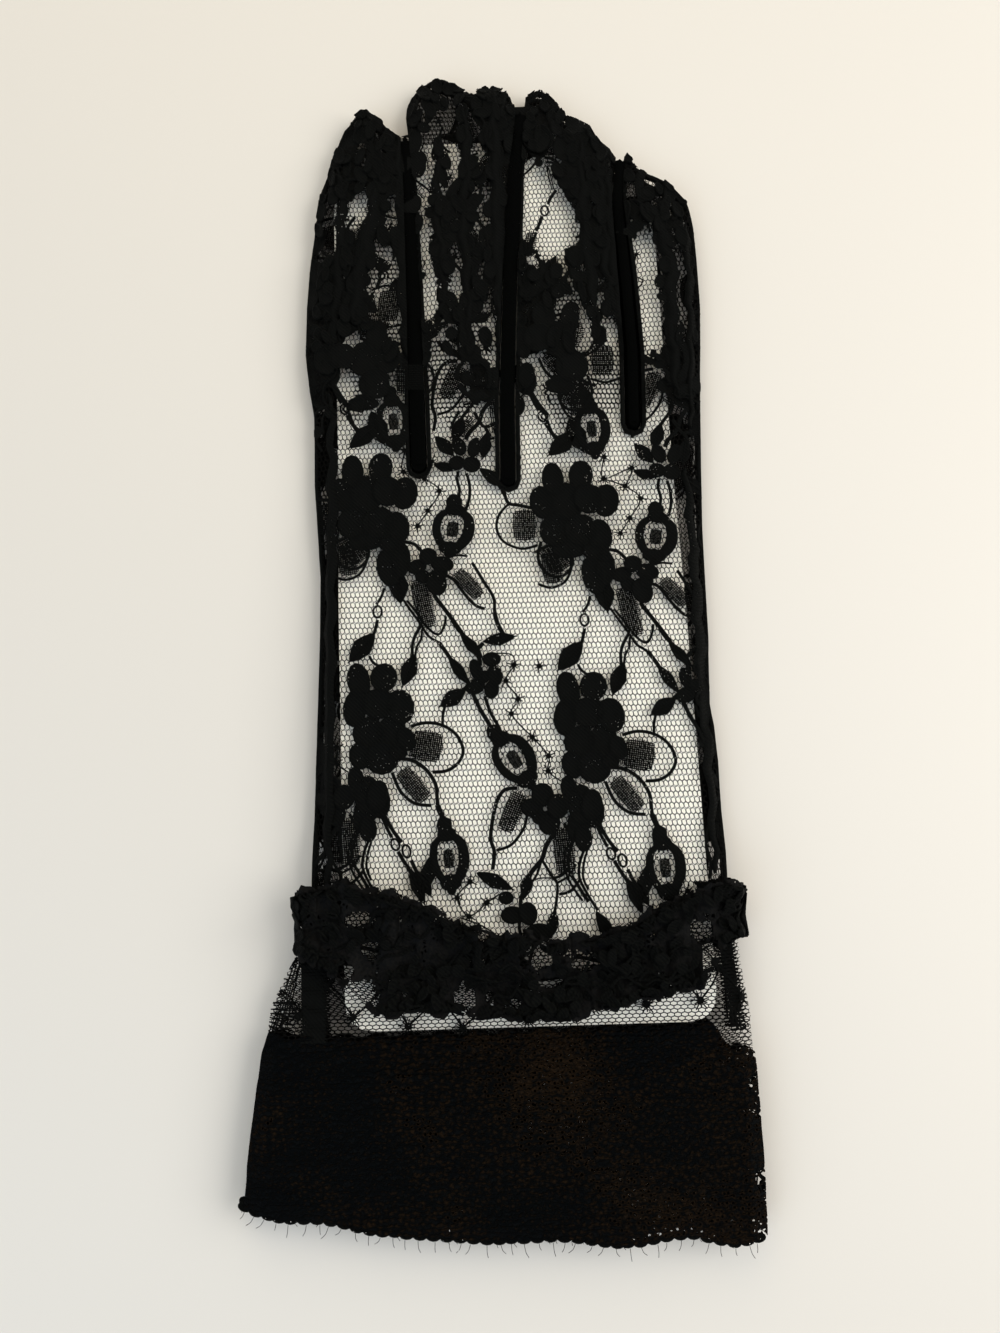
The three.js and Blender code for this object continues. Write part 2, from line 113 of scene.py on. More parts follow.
class Finish:
    """One material, with its surface shader ready to take values."""

    def __init__(self, name):
        self.material = bpy.data.materials.new(name)
        self.material.use_nodes = True
        self.tree = self.material.node_tree
        self.surface = self.tree.nodes["Principled BSDF"]

    def put(self, socket, value):
        if isinstance(value, Value):
            self.tree.links.new(value.socket, socket)
        else:
            socket.default_value = value

    def add(self, kind, settings=None, inputs=(), output=0):
        node = self.tree.nodes.new(kind)
        for name, value in (settings or {}).items():
            if name == "stops":
                elements = node.color_ramp.elements
                while len(elements) < len(value):
                    elements.new(1.0)
                for element, (place, colour) in zip(elements, value):
                    element.position = place
                    element.color = (*colour, 1)
            else:
                setattr(node, name, value)
        pairs = inputs.items() if isinstance(inputs, dict) else enumerate(inputs)
        for key, value in pairs:
            self.put(node.inputs[key], value)
        return Value(self, node.outputs[output])

    def set(self, **sockets):
        for name, value in sockets.items():
            self.put(self.surface.inputs[name.replace("_", " ")], value)

    def place(self):
        return self.add("ShaderNodeTexCoord", output="Object")

    def noise(self, place, scale, detail, **settings):
        return self.add("ShaderNodeTexNoise", settings, {"Vector": place, "Scale": scale, "Detail": detail})

    def cells(self, place, scale, **settings):
        return self.add("ShaderNodeTexVoronoi", settings, {"Vector": place, "Scale": scale}, "Distance")

    def ramp(self, share, *stops):
        return self.add("ShaderNodeValToRGB", {"stops": stops}, {"Fac": share})

    def bump(self, height, distance, strength):
        settings = {"Strength": strength, "Distance": distance, "Height": height}
        self.put(self.surface.inputs["Normal"], self.add("ShaderNodeBump", None, settings))


def piece(name, bm, *finishes):
    """Makes a mesh object of a bmesh, with its materials."""
    mesh = bpy.data.meshes.new(name)
    for face in bm.faces:
        face.smooth = True
    bm.to_mesh(mesh)
    bm.free()
    for finish in finishes:
        mesh.materials.append(finish.material)
    made = bpy.data.objects.new(name, mesh)
    bpy.context.scene.collection.objects.link(made)
    return made


floor_mesh = bmesh.new()
bmesh.ops.create_grid(floor_mesh, x_segments=1, y_segments=1, size=FLOOR_SIZE / 2)
bmesh.ops.translate(floor_mesh, verts=floor_mesh.verts[:], vec=(0, 0, -FLOOR_DROP))
table_finish = Finish("pale_table")
table_finish.set(Base_Color=FLOOR_COLOUR, Roughness=0.6)
piece("floor", floor_mesh, table_finish)

sky = bpy.data.worlds.new("studio")
sky.use_nodes = True
sky.node_tree.nodes["Background"].inputs["Color"].default_value = SKY_COLOUR
sky.node_tree.nodes["Background"].inputs["Strength"].default_value = SKY_STRENGTH
bpy.context.scene.world = sky
bpy.context.scene.view_settings.view_transform = "Standard"
bpy.context.scene.view_settings.gamma = PICTURE_GAMMA

for name, colour, watts, size, place in LAMPS:
    lamp_data = bpy.data.lights.new(name, "AREA")
    lamp_data.size = size
    lamp_data.energy = watts
    lamp_data.color = colour
    lamp = bpy.data.objects.new(name, lamp_data)
    lamp.location = place
    lamp.rotation_euler = (-Vector(place)).to_track_quat("-Z", "Y").to_euler()
    bpy.context.scene.collection.objects.link(lamp)


# Insert card. A stiff card of warm white pulp with round corners and slots for the finger seams,
# slid inside the glove to keep it flat. The CAD solid has its shape, so it stays and gets fibres.
CARD_WHITE = (0.96, 0.935, 0.85)
CARD_SHADE = (0.91, 0.88, 0.79)

card_finish = Finish("card_stock")
card_fibres = card_finish.add(
    "ShaderNodeTexNoise",
    None,
    {"Vector": card_finish.place(), "Scale": 900.0, "Detail": 4.0, "Roughness": 0.7},
)
card_clouds = card_finish.noise(card_finish.place(), 25.0, 2.0)
card_colour = card_finish.ramp(card_clouds * 0.8 + card_fibres * 0.2, (0.3, CARD_SHADE), (0.6, CARD_WHITE))
card_finish.set(Base_Color=card_colour, Roughness=0.72 + card_fibres * 0.1)
card_finish.bump(card_fibres, 0.00005, 0.4)
card_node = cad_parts["insert_card"]
card_node.data.materials.clear()
card_node.data.materials.append(card_finish.material)


# Hand net. The glove's ground is black nylon net with tall, staggered, leaning holes about 1 mm
# wide, knitted by machine. The back and the palm are each one sheet, sewn together at the edge.
HOLE_ACROSS = 1.02
HOLE_ROW = 1.2
HOLE_LEAN = math.radians(8)
THREAD = 0.2
NET_SUNK = 0.2 * MM
NET_SHADE = (0.0012, 0.0012, 0.001)
NET_SHINE = (0.006, 0.0055, 0.0045)
PROBE = 50 * MM
SAME_CORNER = 0.001 * MM
SAME_KNOT = 0.02 * MM


def solid_of(node):
    """A CAD node's solid, with its faces joined at their corners."""
    bm = bmesh.new()
    bm.from_mesh(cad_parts[node].data)
    bmesh.ops.remove_doubles(bm, verts=bm.verts[:], dist=SAME_CORNER)
    return bm


class Skin:
    """The outer face of a CAD node, seen from above or from below, that lace is laid on."""

    def __init__(self, node, side=1):
        made = solid_of(node)
        self.tree = BVHTree.FromBMesh(made)
        made.free()
        self.side = side
        self.low, self.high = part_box(node)

    def height(self, x, y):
        hit = self.tree.ray_cast(Vector((x, y, self.side * PROBE)), Vector((0, 0, -self.side)))
        return None if hit[0] is None else hit[0].z

    def lay(self, bm, sunk=0.0):
        """Lifts a flat mesh onto the skin; its own heights stay, as height above the skin."""
        strays = set()
        for vert in bm.verts:
            z = self.height(vert.co.x, vert.co.y)
            if z is None:
                start = Vector((vert.co.x, vert.co.y, (self.low.z + self.high.z) / 2))
                strays.add(vert)
                vert.co.x, vert.co.y, z = self.tree.find_nearest(start)[0]
            vert.co.z = z + self.side * (vert.co.z - sunk)
        lost = [face for face in bm.faces if all(vert in strays for vert in face.verts)]
        bmesh.ops.delete(bm, geom=lost, context="FACES")
        if self.side < 0:
            bmesh.ops.reverse_faces(bm, faces=bm.faces[:])

    def trim(self, bm, keep):
        """Deletes the faces that lie off the skin, or outside the part of it to keep."""
        outside = []
        for face in bm.faces:
            x, y, _ = face.calc_center_median()
            if self.height(x, y) is None or (keep and not keep(face)):
                outside.append(face)
        bmesh.ops.delete(bm, geom=outside, context="FACES")


def repeated(bm, count, step):
    """Copies what a bmesh holds, over and over, a step further each time."""
    unit = bm.verts[:] + bm.edges[:] + bm.faces[:]
    for i in range(1, count):
        copied = bmesh.ops.duplicate(bm, geom=unit)["geom"]
        verts = [part for part in copied if isinstance(part, bmesh.types.BMVert)]
        bmesh.ops.translate(bm, verts=verts, vec=Vector(step) * i)


def net_ground(skin, across=HOLE_ACROSS, row=HOLE_ROW, lean=HOLE_LEAN, thread=THREAD, keep=None):
    """Flat hexagonal net over a skin's whole footprint, or the part of it to keep."""
    bm = bmesh.new()
    bmesh.ops.create_circle(bm, cap_ends=True, segments=6, radius=1)
    bmesh.ops.scale(bm, verts=bm.verts[:], vec=(across / math.sqrt(3) * MM, row / 1.5 * MM, 1))
    for vert in bm.verts:
        vert.co.x -= math.tan(lean) * vert.co.y
    columns = math.ceil((skin.high.x - skin.low.x) / (across * MM)) + 1
    pairs = math.ceil((skin.high.y - skin.low.y) / (2 * row * MM)) + 1
    lean_step = -math.tan(lean) * row
    repeated(bm, columns, (across * MM, 0, 0))
    repeated(bm, 2, ((across / 2 + lean_step) * MM, row * MM, 0))
    repeated(bm, pairs, (0, 2 * row * MM, 0))
    bmesh.ops.translate(bm, verts=bm.verts[:], vec=(skin.low.x, skin.low.y, 0))
    skin.trim(bm, keep)
    bmesh.ops.remove_doubles(bm, verts=bm.verts[:], dist=SAME_KNOT)
    holes = bm.faces[:]
    bmesh.ops.inset_individual(bm, faces=holes, thickness=thread / 2 * MM, use_even_offset=True)
    bmesh.ops.delete(bm, geom=holes, context="FACES")
    return bm


def join(target, source, material=0):
    """Adds one bmesh to another, and frees it."""
    for face in source.faces:
        face.material_index = material
    part = bpy.data.meshes.new("part")
    source.to_mesh(part)
    source.free()
    target.from_mesh(part)
    bpy.data.meshes.remove(part)


def netting(name):
    """Black nylon thread, dull, with a faint shine along the filaments."""
    finish = Finish(name)
    fuzz = finish.noise(finish.place(), 2500.0, 2.0)
    colour = finish.ramp(fuzz, (0.3, NET_SHADE), (0.75, NET_SHINE))
    finish.set(Base_Color=colour, Roughness=0.55 + fuzz * 0.2, Specular_IOR_Level=0.04)
    finish.bump(fuzz, 0.00006, 0.6)
    return finish


back = Skin("back_panel")
palm = Skin("palm_panel", -1)
net_finish = netting("nylon_net")


# Lace flowers. Roses, buds, small flowers and leaves are woven into the net in thick black yarn,
# with corded edges; stems, rings and star dots join them. The chart holds one repeat.
REPEAT_ACROSS = Vector((46.3, -3.3, 0))
REPEAT_ALONG = Vector((11.0, -101.0, 0))
REPEAT_ENDS = (-58.5, 28.8)  # what lies beyond these laps over the next repeat, and is drawn once
CORD = 0.6
RIM_SHARE = 0.45
RIM_RISE = 0.22
MIDDLE_DROP = 0.16
DRAWN_IN = 0.3
STEM_HIGH = 0.22
STAR_WIDE = 2.5
BEADS = 16
BEAD_WIDE = 0.5
PINHOLE_SIZE = 0.16
PINHOLES_FROM = 0.56
YARN_SHADE = (0.0008, 0.001, 0.001)
YARN_SHINE = (0.0045, 0.005, 0.004)

PETALS = [
    # x, y, wide, high, turn: filled petals of the roses, the small flowers and the petal groups
    (-30.6, 31.6, 5.2, 8.4, 4), (-24.1, 32.4, 5.8, 7.4, -4), (-33.2, 26.0, 6.0, 8.4, 10),
    (-27.6, 26.0, 8.0, 9.6, 0), (-22.6, 26.6, 7.0, 7.6, 20), (-18.6, 26.0, 6.2, 8.2, -8),
    (-30.2, 19.2, 8.0, 8.6, -20), (-24.6, 19.0, 8.0, 8.0, 12), (-20.4, 17.6, 5.8, 8.2, 6),
    (-27.4, 14.6, 8.6, 4.8, 4), (-22.0, 13.6, 5.4, 4.2, -10),
    (-22.4, 8.0, 5.4, 9.4, 10), (-19.6, 9.6, 4.6, 8.6, -4), (-19.8, 12.6, 3.2, 3.4, 0),
    (-13.4, 10.4, 4.2, 4.2, 0), (-15.9, 8.0, 4.6, 3.6, 20), (-10.2, 8.4, 5.4, 4.0, -10),
    (-11.6, 4.0, 4.8, 6.2, 14), (-14.6, 5.6, 3.8, 3.4, -30), (-10.6, 6.2, 3.4, 3.6, 0),
    (-29.2, -18.0, 5.2, 8.4, 10), (-23.6, -17.4, 6.2, 6.6, -6), (-30.0, -24.0, 5.4, 8.6, -8),
    (-24.8, -23.2, 7.6, 7.0, 0), (-20.0, -24.0, 6.2, 8.0, 10), (-27.0, -29.6, 7.4, 7.2, 0),
    (-22.0, -29.4, 6.6, 7.0, 0), (-18.8, -31.2, 4.0, 5.6, 20), (-24.2, -35.2, 7.6, 7.4, 0),
    (-29.0, -34.6, 4.8, 6.2, 12), (-20.6, -34.0, 4.0, 3.8, 0),
    (-27.4, -43.2, 6.0, 8.8, 0), (-29.8, -40.0, 3.8, 6.4, 10), (-25.2, -43.4, 4.8, 7.0, -10),
    (-28.6, -48.6, 4.4, 5.6, 12),
    (-3.2, -16.2, 2.8, 5.0, 14), (0.4, -14.0, 4.2, 3.4, 0), (1.0, -17.6, 3.4, 5.0, 12),
    (-3.4, -20.0, 4.6, 3.6, 20), (0.2, -20.8, 3.4, 4.2, -10), (-1.2, -17.8, 2.6, 2.8, 0),
    (10.6, -44.2, 5.0, 5.2, 10), (8.2, -46.9, 5.0, 4.2, 0), (13.8, -46.8, 4.8, 5.6, -6),
    (11.8, -50.2, 5.0, 5.4, 0), (9.8, -49.0, 3.6, 3.4, 0),
    (17.4, -45.6, 4.6, 5.6, 20), (21.4, -47.6, 5.0, 8.2, 6), (18.6, -50.0, 5.8, 4.8, 0),
    (19.0, -53.8, 4.0, 5.6, 4),
    (2.0, -65.8, 3.4, 2.8, 0), (3.2, -69.4, 5.0, 3.8, 0), (6.6, -69.2, 4.0, 5.0, 8),
    (8.8, -73.2, 6.0, 4.0, 0),
    (-5.8, 37.0, 3.4, 4.8, 20), (-2.2, 36.8, 3.2, 5.2, -20), (-6.4, 33.0, 4.0, 3.6, 0),
    (-3.0, 32.6, 4.4, 4.0, 0),
]
LEAVES = [
    # x, y, wide, long, turn: filled leaves with two pointed ends
    (-20.1, 3.6, 4.6, 8.4, 6), (-28.4, -10.4, 4.6, 8.6, -42), (-18.0, -15.8, 3.8, 7.8, -22),
    (-7.0, -16.2, 2.6, 8.0, 34), (-4.0, -10.8, 2.6, 7.6, 40), (2.2, -9.4, 3.0, 7.4, 98),
    (-8.4, -22.4, 3.8, 6.8, -58), (2.0, 29.4, 3.4, 8.2, 54), (-16.9, -62.8, 2.8, 8.4, 22),
    (-14.6, -60.4, 3.4, 10.6, -18), (-0.4, -62.2, 3.2, 8.6, 64), (6.4, -63.4, 2.8, 5.6, -14),
    (11.8, -71.4, 2.6, 5.6, -8), (31.0, -65.6, 2.8, 6.0, 26), (22.8, -72.4, 3.0, 7.6, 28),
    (-27.9, 40.4, 4.6, 9.0, -50), (-24.7, 42.3, 5.0, 9.0, 20), (-5.9, 41.4, 3.4, 6.6, -20),
    (-9.2, 37.4, 3.4, 6.6, 40), (0.2, 37.4, 3.2, 6.6, -10), (-9.4, 32.2, 2.6, 5.4, 70),
]
BUDS = [
    # x, y, wide, high, turn
    (-7.7, 16.9, 9.6, 13.4, -8), (4.7, -36.3, 8.8, 14.6, 32), (-10.0, -57.2, 8.4, 14.4, 4),
]
WOVEN_IN = [
    # x, y, wide, high, turn: half-open patches of crossed threads inside the outlined leaves
    (-31.6, 10.2, 5.0, 8.0, 6), (-4.4, 3.6, 3.8, 8.4, 40), (-14.6, -0.6, 4.6, 12.0, 12),
    (-14.4, -32.8, 7.6, 7.2, -10), (-17.4, -41.2, 4.4, 9.0, 38), (4.0, -47.6, 4.4, 9.6, -24),
    (14.8, -56.4, 4.8, 10.4, 4), (8.8, 17.4, 5.8, 8.0, 0), (15.4, 9.2, 5.6, 7.6, 30),
]
STARS = [
    (-18.5, 36.7), (-14.0, 29.4), (-10.6, 26.3), (-15.7, 17.9), (-13.3, 21.6), (-18.9, 31.4),
    (-12.2, 33.8), (5.3, -15.4), (3.4, -18.9), (6.0, -23.0), (4.4, -26.3), (8.8, -31.6),
    (12.2, -35.8), (12.0, -39.1), (10.9, -15.8), (-5.6, -62.2), (-8.4, -65.5), (-2.1, -66.7),
    (-6.0, -69.4),
]
STEMS = [
    # thickness, then the places that the cord runs through
    (0.8, [(-35.1, 52.6), (-33.4, 50.0), (-32.4, 48.3)]),
    (0.8, [(-31.4, 46.2), (-30.3, 43.0), (-28.4, 41.4)]),
    (0.7, [(-6.6, 23.4), (-5.9, 26.2), (-6.4, 28.9), (-6.0, 31.0)]),
    (0.7, [(-4.8, 21.0), (-3.7, 24.4), (-3.6, 27.8), (-4.2, 30.4)]),
    (0.8, [(-19.6, 14.2), (-16.6, 13.6), (-14.6, 11.4)]),
    (0.5, [(-8.6, 10.2), (-6.6, 10.5), (-4.4, 10.2)]),
    (0.7, [(-10.4, 5.8), (-8.0, 5.0), (-5.4, 1.4), (-3.0, -1.4), (-0.8, -2.4)]),
    (0.7, [(-3.4, 8.6), (-1.0, 4.2), (1.2, 0.2), (1.3, -3.2)]),
    (1.0, [(1.3, -3.2), (2.0, -6.0), (3.2, -8.4)]),
    (0.6, [(-23.4, 3.2), (-24.0, 1.2), (-25.2, -0.6)]),
    (0.7, [(-24.9, -4.2), (-25.4, -6.2), (-26.2, -8.6)]),
    (0.6, [(-26.8, -12.4), (-26.0, -13.8), (-24.4, -15.0)]),
    (0.55, [(-19.0, 0.2), (-17.2, -2.6), (-15.4, -5.2), (-13.6, -8.2), (-11.2, -9.8)]),
    (0.55, [(-18.2, 0.0), (-16.4, -2.4), (-14.6, -5.2), (-12.6, -7.4), (-11.0, -7.8), (-9.9, -5.6),
            (-9.6, -3.8)]),
    (0.9, [(-11.2, -9.8), (-9.6, -12.2), (-8.4, -14.2), (-6.6, -17.4), (-4.4, -19.6)]),
    (0.9, [(-12.2, 1.2), (-9.4, -2.8), (-7.2, -6.0), (-5.2, -9.2)]),
    (0.5, [(-8.4, -4.8), (-6.8, -7.4), (-5.6, -8.2)]),
    (0.7, [(-15.2, -5.8), (-16.6, -8.2), (-17.2, -10.4), (-17.2, -12.8)]),
    (0.5, [(-15.0, -6.6), (-15.2, -8.8), (-16.2, -10.6), (-16.6, -12.8)]),
    (1.0, [(-4.0, -10.8), (-2.6, -12.8), (-2.2, -15.4)]),
    (0.9, [(-1.4, -10.2), (-2.6, -11.6), (-3.0, -13.0)]),
    (1.0, [(-5.2, -20.0), (-6.6, -21.2), (-8.4, -22.2)]),
    (0.6, [(-10.2, -24.2), (-10.7, -26.2), (-10.8, -28.6)]),
    (0.9, [(-4.2, -21.0), (-2.6, -24.8), (-0.6, -28.4), (0.9, -32.0)]),
    (0.7, [(-1.4, -22.2), (-0.2, -25.8), (1.8, -29.6)]),
    (0.7, [(-17.8, -28.4), (-14.4, -27.7), (-10.8, -28.4), (-7.8, -30.6), (-6.4, -34.0), (-7.6, -36.8),
           (-10.2, -38.4), (-13.2, -38.6)]),
    (0.8, [(-20.8, -35.4), (-17.6, -35.9), (-14.6, -38.0), (-12.6, -41.2), (-12.3, -44.4), (-12.2, -46.4)]),
    (0.7, [(-22.0, -38.4), (-20.2, -42.6), (-17.2, -45.2), (-13.6, -45.8)]),
    (1.2, [(-12.3, -45.8), (-11.4, -48.0), (-10.4, -50.8)]),
    (0.7, [(-24.6, -47.0), (-23.4, -50.0), (-22.2, -52.4)]),
    (0.8, [(-20.9, -55.4), (-19.4, -58.0), (-17.6, -60.8)]),
    (0.7, [(-29.4, -50.8), (-30.6, -54.0), (-30.8, -57.0), (-29.2, -59.8), (-26.8, -63.8)]),
    (0.5, [(-30.0, -50.8), (-31.4, -54.0), (-31.4, -57.2), (-30.4, -60.0), (-28.0, -63.6)]),
    (0.6, [(-30.8, -57.0), (-32.4, -58.2), (-34.4, -58.8)]),
    (0.8, [(5.2, -42.6), (2.4, -42.9), (0.6, -45.4), (-0.5, -49.8), (-0.9, -53.4), (-0.2, -56.2),
           (-0.7, -59.8)]),
    (0.6, [(7.2, -47.6), (6.4, -51.0), (3.6, -54.6), (0.2, -55.8)]),
    (0.7, [(15.0, -50.4), (16.2, -52.6), (18.0, -54.0)]),
    (1.0, [(12.8, -52.6), (11.0, -55.0), (9.9, -58.0), (7.6, -60.6), (6.8, -62.4)]),
    (0.5, [(9.9, -58.0), (8.8, -61.0), (7.2, -63.2)]),
    (0.6, [(9.9, -58.0), (12.0, -61.6), (13.0, -63.2), (12.8, -66.2), (12.0, -70.0)]),
    (0.5, [(13.0, -63.0), (15.6, -61.6), (17.2, -59.2)]),
    (0.6, [(13.3, -65.4), (15.8, -64.8), (17.8, -62.6)]),
    (0.6, [(19.0, -56.4), (18.0, -59.0), (17.8, -62.0), (19.2, -65.2), (21.4, -69.0)]),
    (0.5, [(19.8, -56.0), (18.9, -59.0), (18.6, -62.0), (19.6, -64.6)]),
    (0.8, [(22.6, -51.0), (24.2, -54.0), (26.2, -56.8)]),
    (0.8, [(28.2, -60.6), (29.4, -63.2), (30.8, -65.0)]),
    (0.8, [(6.4, -63.4), (5.2, -65.8), (5.0, -68.4)]),
    (0.8, [(3.9, 26.8), (4.6, 24.6), (5.4, 22.8), (8.0, 22.2), (11.0, 21.4)]),
    (0.6, [(5.4, 22.8), (3.0, 20.0), (2.4, 16.6), (4.0, 13.4), (8.0, 11.6), (11.6, 12.4)]),
    (0.6, [(-35.6, 13.8), (-32.0, 15.6), (-28.4, 14.0), (-27.2, 10.6), (-28.8, 6.8), (-32.0, 5.4),
           (-35.0, 6.4)]),
    (0.7, [(12.4, 13.2), (11.6, 9.2), (13.4, 5.4), (17.0, 4.8), (19.4, 7.8), (18.6, 12.0)]),
    (0.8, [(-1.9, 50.0), (-2.4, 47.6), (-3.9, 45.6), (-5.4, 43.6)]),
    (0.8, [(-2.0, 45.5), (-1.0, 43.6), (0.4, 42.0), (3.7, 43.4)]),
    (0.8, [(0.4, 42.0), (1.3, 39.6), (0.8, 37.5)]),
    (0.3, [(-18.9, 31.4), (-14.0, 29.4), (-10.6, 26.3), (-13.3, 21.6), (-15.7, 17.9)]),
    (0.3, [(-18.5, 36.7), (-18.9, 31.4), (-12.2, 33.8), (-14.0, 29.4)]),
    (0.3, [(0.6, -12.6), (4.8, -13.0), (5.3, -15.4), (3.4, -18.9), (6.0, -23.0), (4.4, -26.3),
           (8.8, -31.6)]),
    (0.3, [(8.8, -31.6), (12.2, -35.8), (12.0, -39.1), (14.8, -41.4)]),
    (0.3, [(-5.6, -62.2), (-8.4, -65.5), (-6.0, -69.4), (-2.1, -66.7), (0.6, -65.0)]),
    (0.3, [(7.4, -62.6), (9.4, -61.9), (12.4, -62.0)]),
]
RINGS = [
    (-24.9, -2.3, 2.4, 3.2, 0), (-21.5, -53.9, 2.2, 3.0, 20), (27.2, -58.7, 2.2, 3.2, 12),
    (-31.9, 47.2, 2.0, 2.0, 0),
]


def turned_at(x, y, turn, z=0.0):
    """The matrix of a place, and of a turn in degrees about the upright axis."""
    return Matrix.Translation((x, y, z)) @ Matrix.Rotation(math.radians(turn), 4, "Z")


def motif_at(bm, draw, sizes, stand):
    """Draws one motif and moves it to where it stands."""
    start = len(bm.verts)
    draw(bm, *sizes)
    bm.verts.ensure_lookup_table()
    bmesh.ops.transform(bm, matrix=stand, verts=bm.verts[start:])


def to_metres(bm):
    """Brings a mesh drawn in millimetres to metres."""
    bmesh.ops.scale(bm, verts=bm.verts[:], vec=(MM, MM, MM))


def oval(bm, x, y, wide, high, turn=0.0, rise=0.0, sides=16, pinch=0.0, rim=CORD):
    """One petal or leaf: a filled oval with a corded rim; pinch draws its two ends to points."""
    made = bmesh.ops.create_circle(bm, cap_ends=True, segments=sides, radius=1)["verts"]
    for vert in made:
        taper = 1 - pinch * abs(vert.co.y) ** 1.5
        vert.co.x *= taper
    place = turned_at(x, y, turn, rise) @ Matrix.Diagonal((wide / 2, high / 2, 1, 1))
    bmesh.ops.transform(bm, matrix=place, verts=made)
    face = made[0].link_faces[0]
    for up in (RIM_RISE, -MIDDLE_DROP):
        bmesh.ops.inset_individual(bm, faces=[face], thickness=rim * RIM_SHARE, use_even_offset=True)
        bmesh.ops.translate(bm, verts=face.verts[:], vec=(0, 0, up))
    return face


def smooth_route(points, steps):
    """Points along a smooth curve through a few places."""
    ends = [points[0], *points, points[-1]]
    route = []
    for a, b, c, d in zip(ends, ends[1:], ends[2:], ends[3:]):
        for i in range(steps):
            t = i / steps
            route.append(tuple(
                0.5 * (
                    2 * q + (r - p) * t + (2 * p - 5 * q + 4 * r - s) * t**2
                    + (3 * q - p - 3 * r + s) * t**3
                )
                for p, q, r, s in zip(a, b, c, d)
            ))
    return route + [tuple(points[-1])]


def cord_along(bm, points, wide, high, steps=4, rise=0.0, across=2, taper=False):
    """A cord or a fold, rounded across, over a smooth route."""
    route = [Vector((*p, 0)) for p in smooth_route(points, steps)]
    made = bmesh.ops.create_grid(bm, x_segments=across, y_segments=len(route) - 1, size=1)["verts"]
    for i, vert in enumerate(made):
        row, column = divmod(i, across + 1)
        before, after = route[max(row - 1, 0)], route[min(row + 1, len(route) - 1)]
        along = (after - before).normalized()
        side = Vector((along.y, -along.x, 0))
        share = column / across
        broad = wide * (math.sin(math.pi * (row + 0.4) / (len(route) - 0.2)) ** 0.4 if taper else 1)
        up = Vector((0, 0, rise + high * math.sin(math.pi * share)))
        vert.co = route[row] + side * (share - 0.5) * broad + up


def ring(bm, wide, high):
    """A closed ring of cord, open in the middle."""
    face = oval(bm, 0, 0, wide, high, sides=14, rim=0.5)
    bmesh.ops.delete(bm, geom=[face], context="FACES")


def petal(bm, wide, high):
    """A filled petal with an uneven middle; its rise follows its width, so that petals lap."""
    face = oval(bm, 0, 0, wide, high, rise=0.06 * (wide * 7 % 5), sides=12)
    for vert in face.verts:
        vert.co.z += 0.05 * math.sin(3 * vert.co.x + 2 * vert.co.y)


def leaf(bm, wide, high):
    """A filled leaf with two pointed ends and a midrib of cord."""
    oval(bm, 0, 0, wide, high, pinch=0.6, sides=12, rim=0.4)
    cord_along(bm, [(0, -high * 0.55), (0, 0), (0, high * 0.42)], 0.32, 0.14, 2, rise=0.1)


def crossed(bm, wide, high, pitch=0.46, thick=0.28, pinch=DRAWN_IN):
    """A patch of threads that cross each other, drawn in towards its ends."""
    for i in range(1, int(high / pitch)):
        y = i * pitch - high / 2
        half = wide / 2 * (1 - pinch * abs(2 * y / high))
        cord_along(bm, [(-half, y), (half, y)], thick, 0.06, 1)
    for i in range(1, int(wide / pitch)):
        x = i * pitch - wide / 2
        reach = high / 2 * (1 - DRAWN_IN * abs(2 * x / wide))
        cord_along(bm, [(x, -reach), (x, reach)], thick, 0.1, 1)


def bud(bm, wide, high):
    """Two thick curved petals round an open ring, with beads of thread round a woven heart."""
    w, h = wide / 2, high / 2
    for side, thick in ((-1, 0.42), (1, 0.56)):
        route = [(side * 0.12 * w, 0.74 * h), (side * 0.68 * w, 0.42 * h), (side * 0.76 * w, -0.12 * h),
                 (side * 0.44 * w, -0.56 * h), (0, -0.8 * h)]
        cord_along(bm, route, thick * w, 0.3, 4, taper=True)
    oval(bm, 0, 0.72 * h, 1.0 * w, 0.46 * h, rise=0.1, sides=12)
    oval(bm, 0, -0.7 * h, 1.15 * w, 0.5 * h, rise=0.1, sides=12)
    oval(bm, 0, -0.92 * h, 0.5 * w, 0.3 * h, rise=0.06, sides=10)
    cord_along(bm, [(0, 0.7 * h), (-0.1 * w, 0.98 * h), (0.06 * w, 1.22 * h)], 0.8 * w, 0.3, 2, taper=True)
    for i in range(BEADS):
        a = math.tau * i / BEADS
        out = 0.5 + 0.08 * (i % 2)
        x, y = out * w * math.cos(a), out * h * 0.92 * math.sin(a)
        oval(bm, x, y, BEAD_WIDE, BEAD_WIDE, rise=0.08, sides=6, rim=0.2)
    crossed(bm, 0.6 * w, 0.6 * h, 0.32, 0.26)


def star(bm, wide, high, spokes=7):
    """A soft woven dot with loose thread ends."""
    oval(bm, 0, 0, wide * 0.5, wide * 0.5, rise=0.1, sides=8, rim=0.3)
    for i in range(spokes):
        a = math.tau * (i + 0.4) / spokes
        reach = wide / 2 * (1.3 if i % 2 else 0.9)
        cord_along(bm, [(0, 0), (reach * math.cos(a), reach * math.sin(a))], 0.26, 0.1, 1)


CHART = [
    (petal, PETALS), (leaf, LEAVES), (bud, BUDS), (crossed, WOVEN_IN), (ring, RINGS),
    (star, [(x, y, STAR_WIDE, STAR_WIDE, 17 * x) for x, y in STARS]),
]


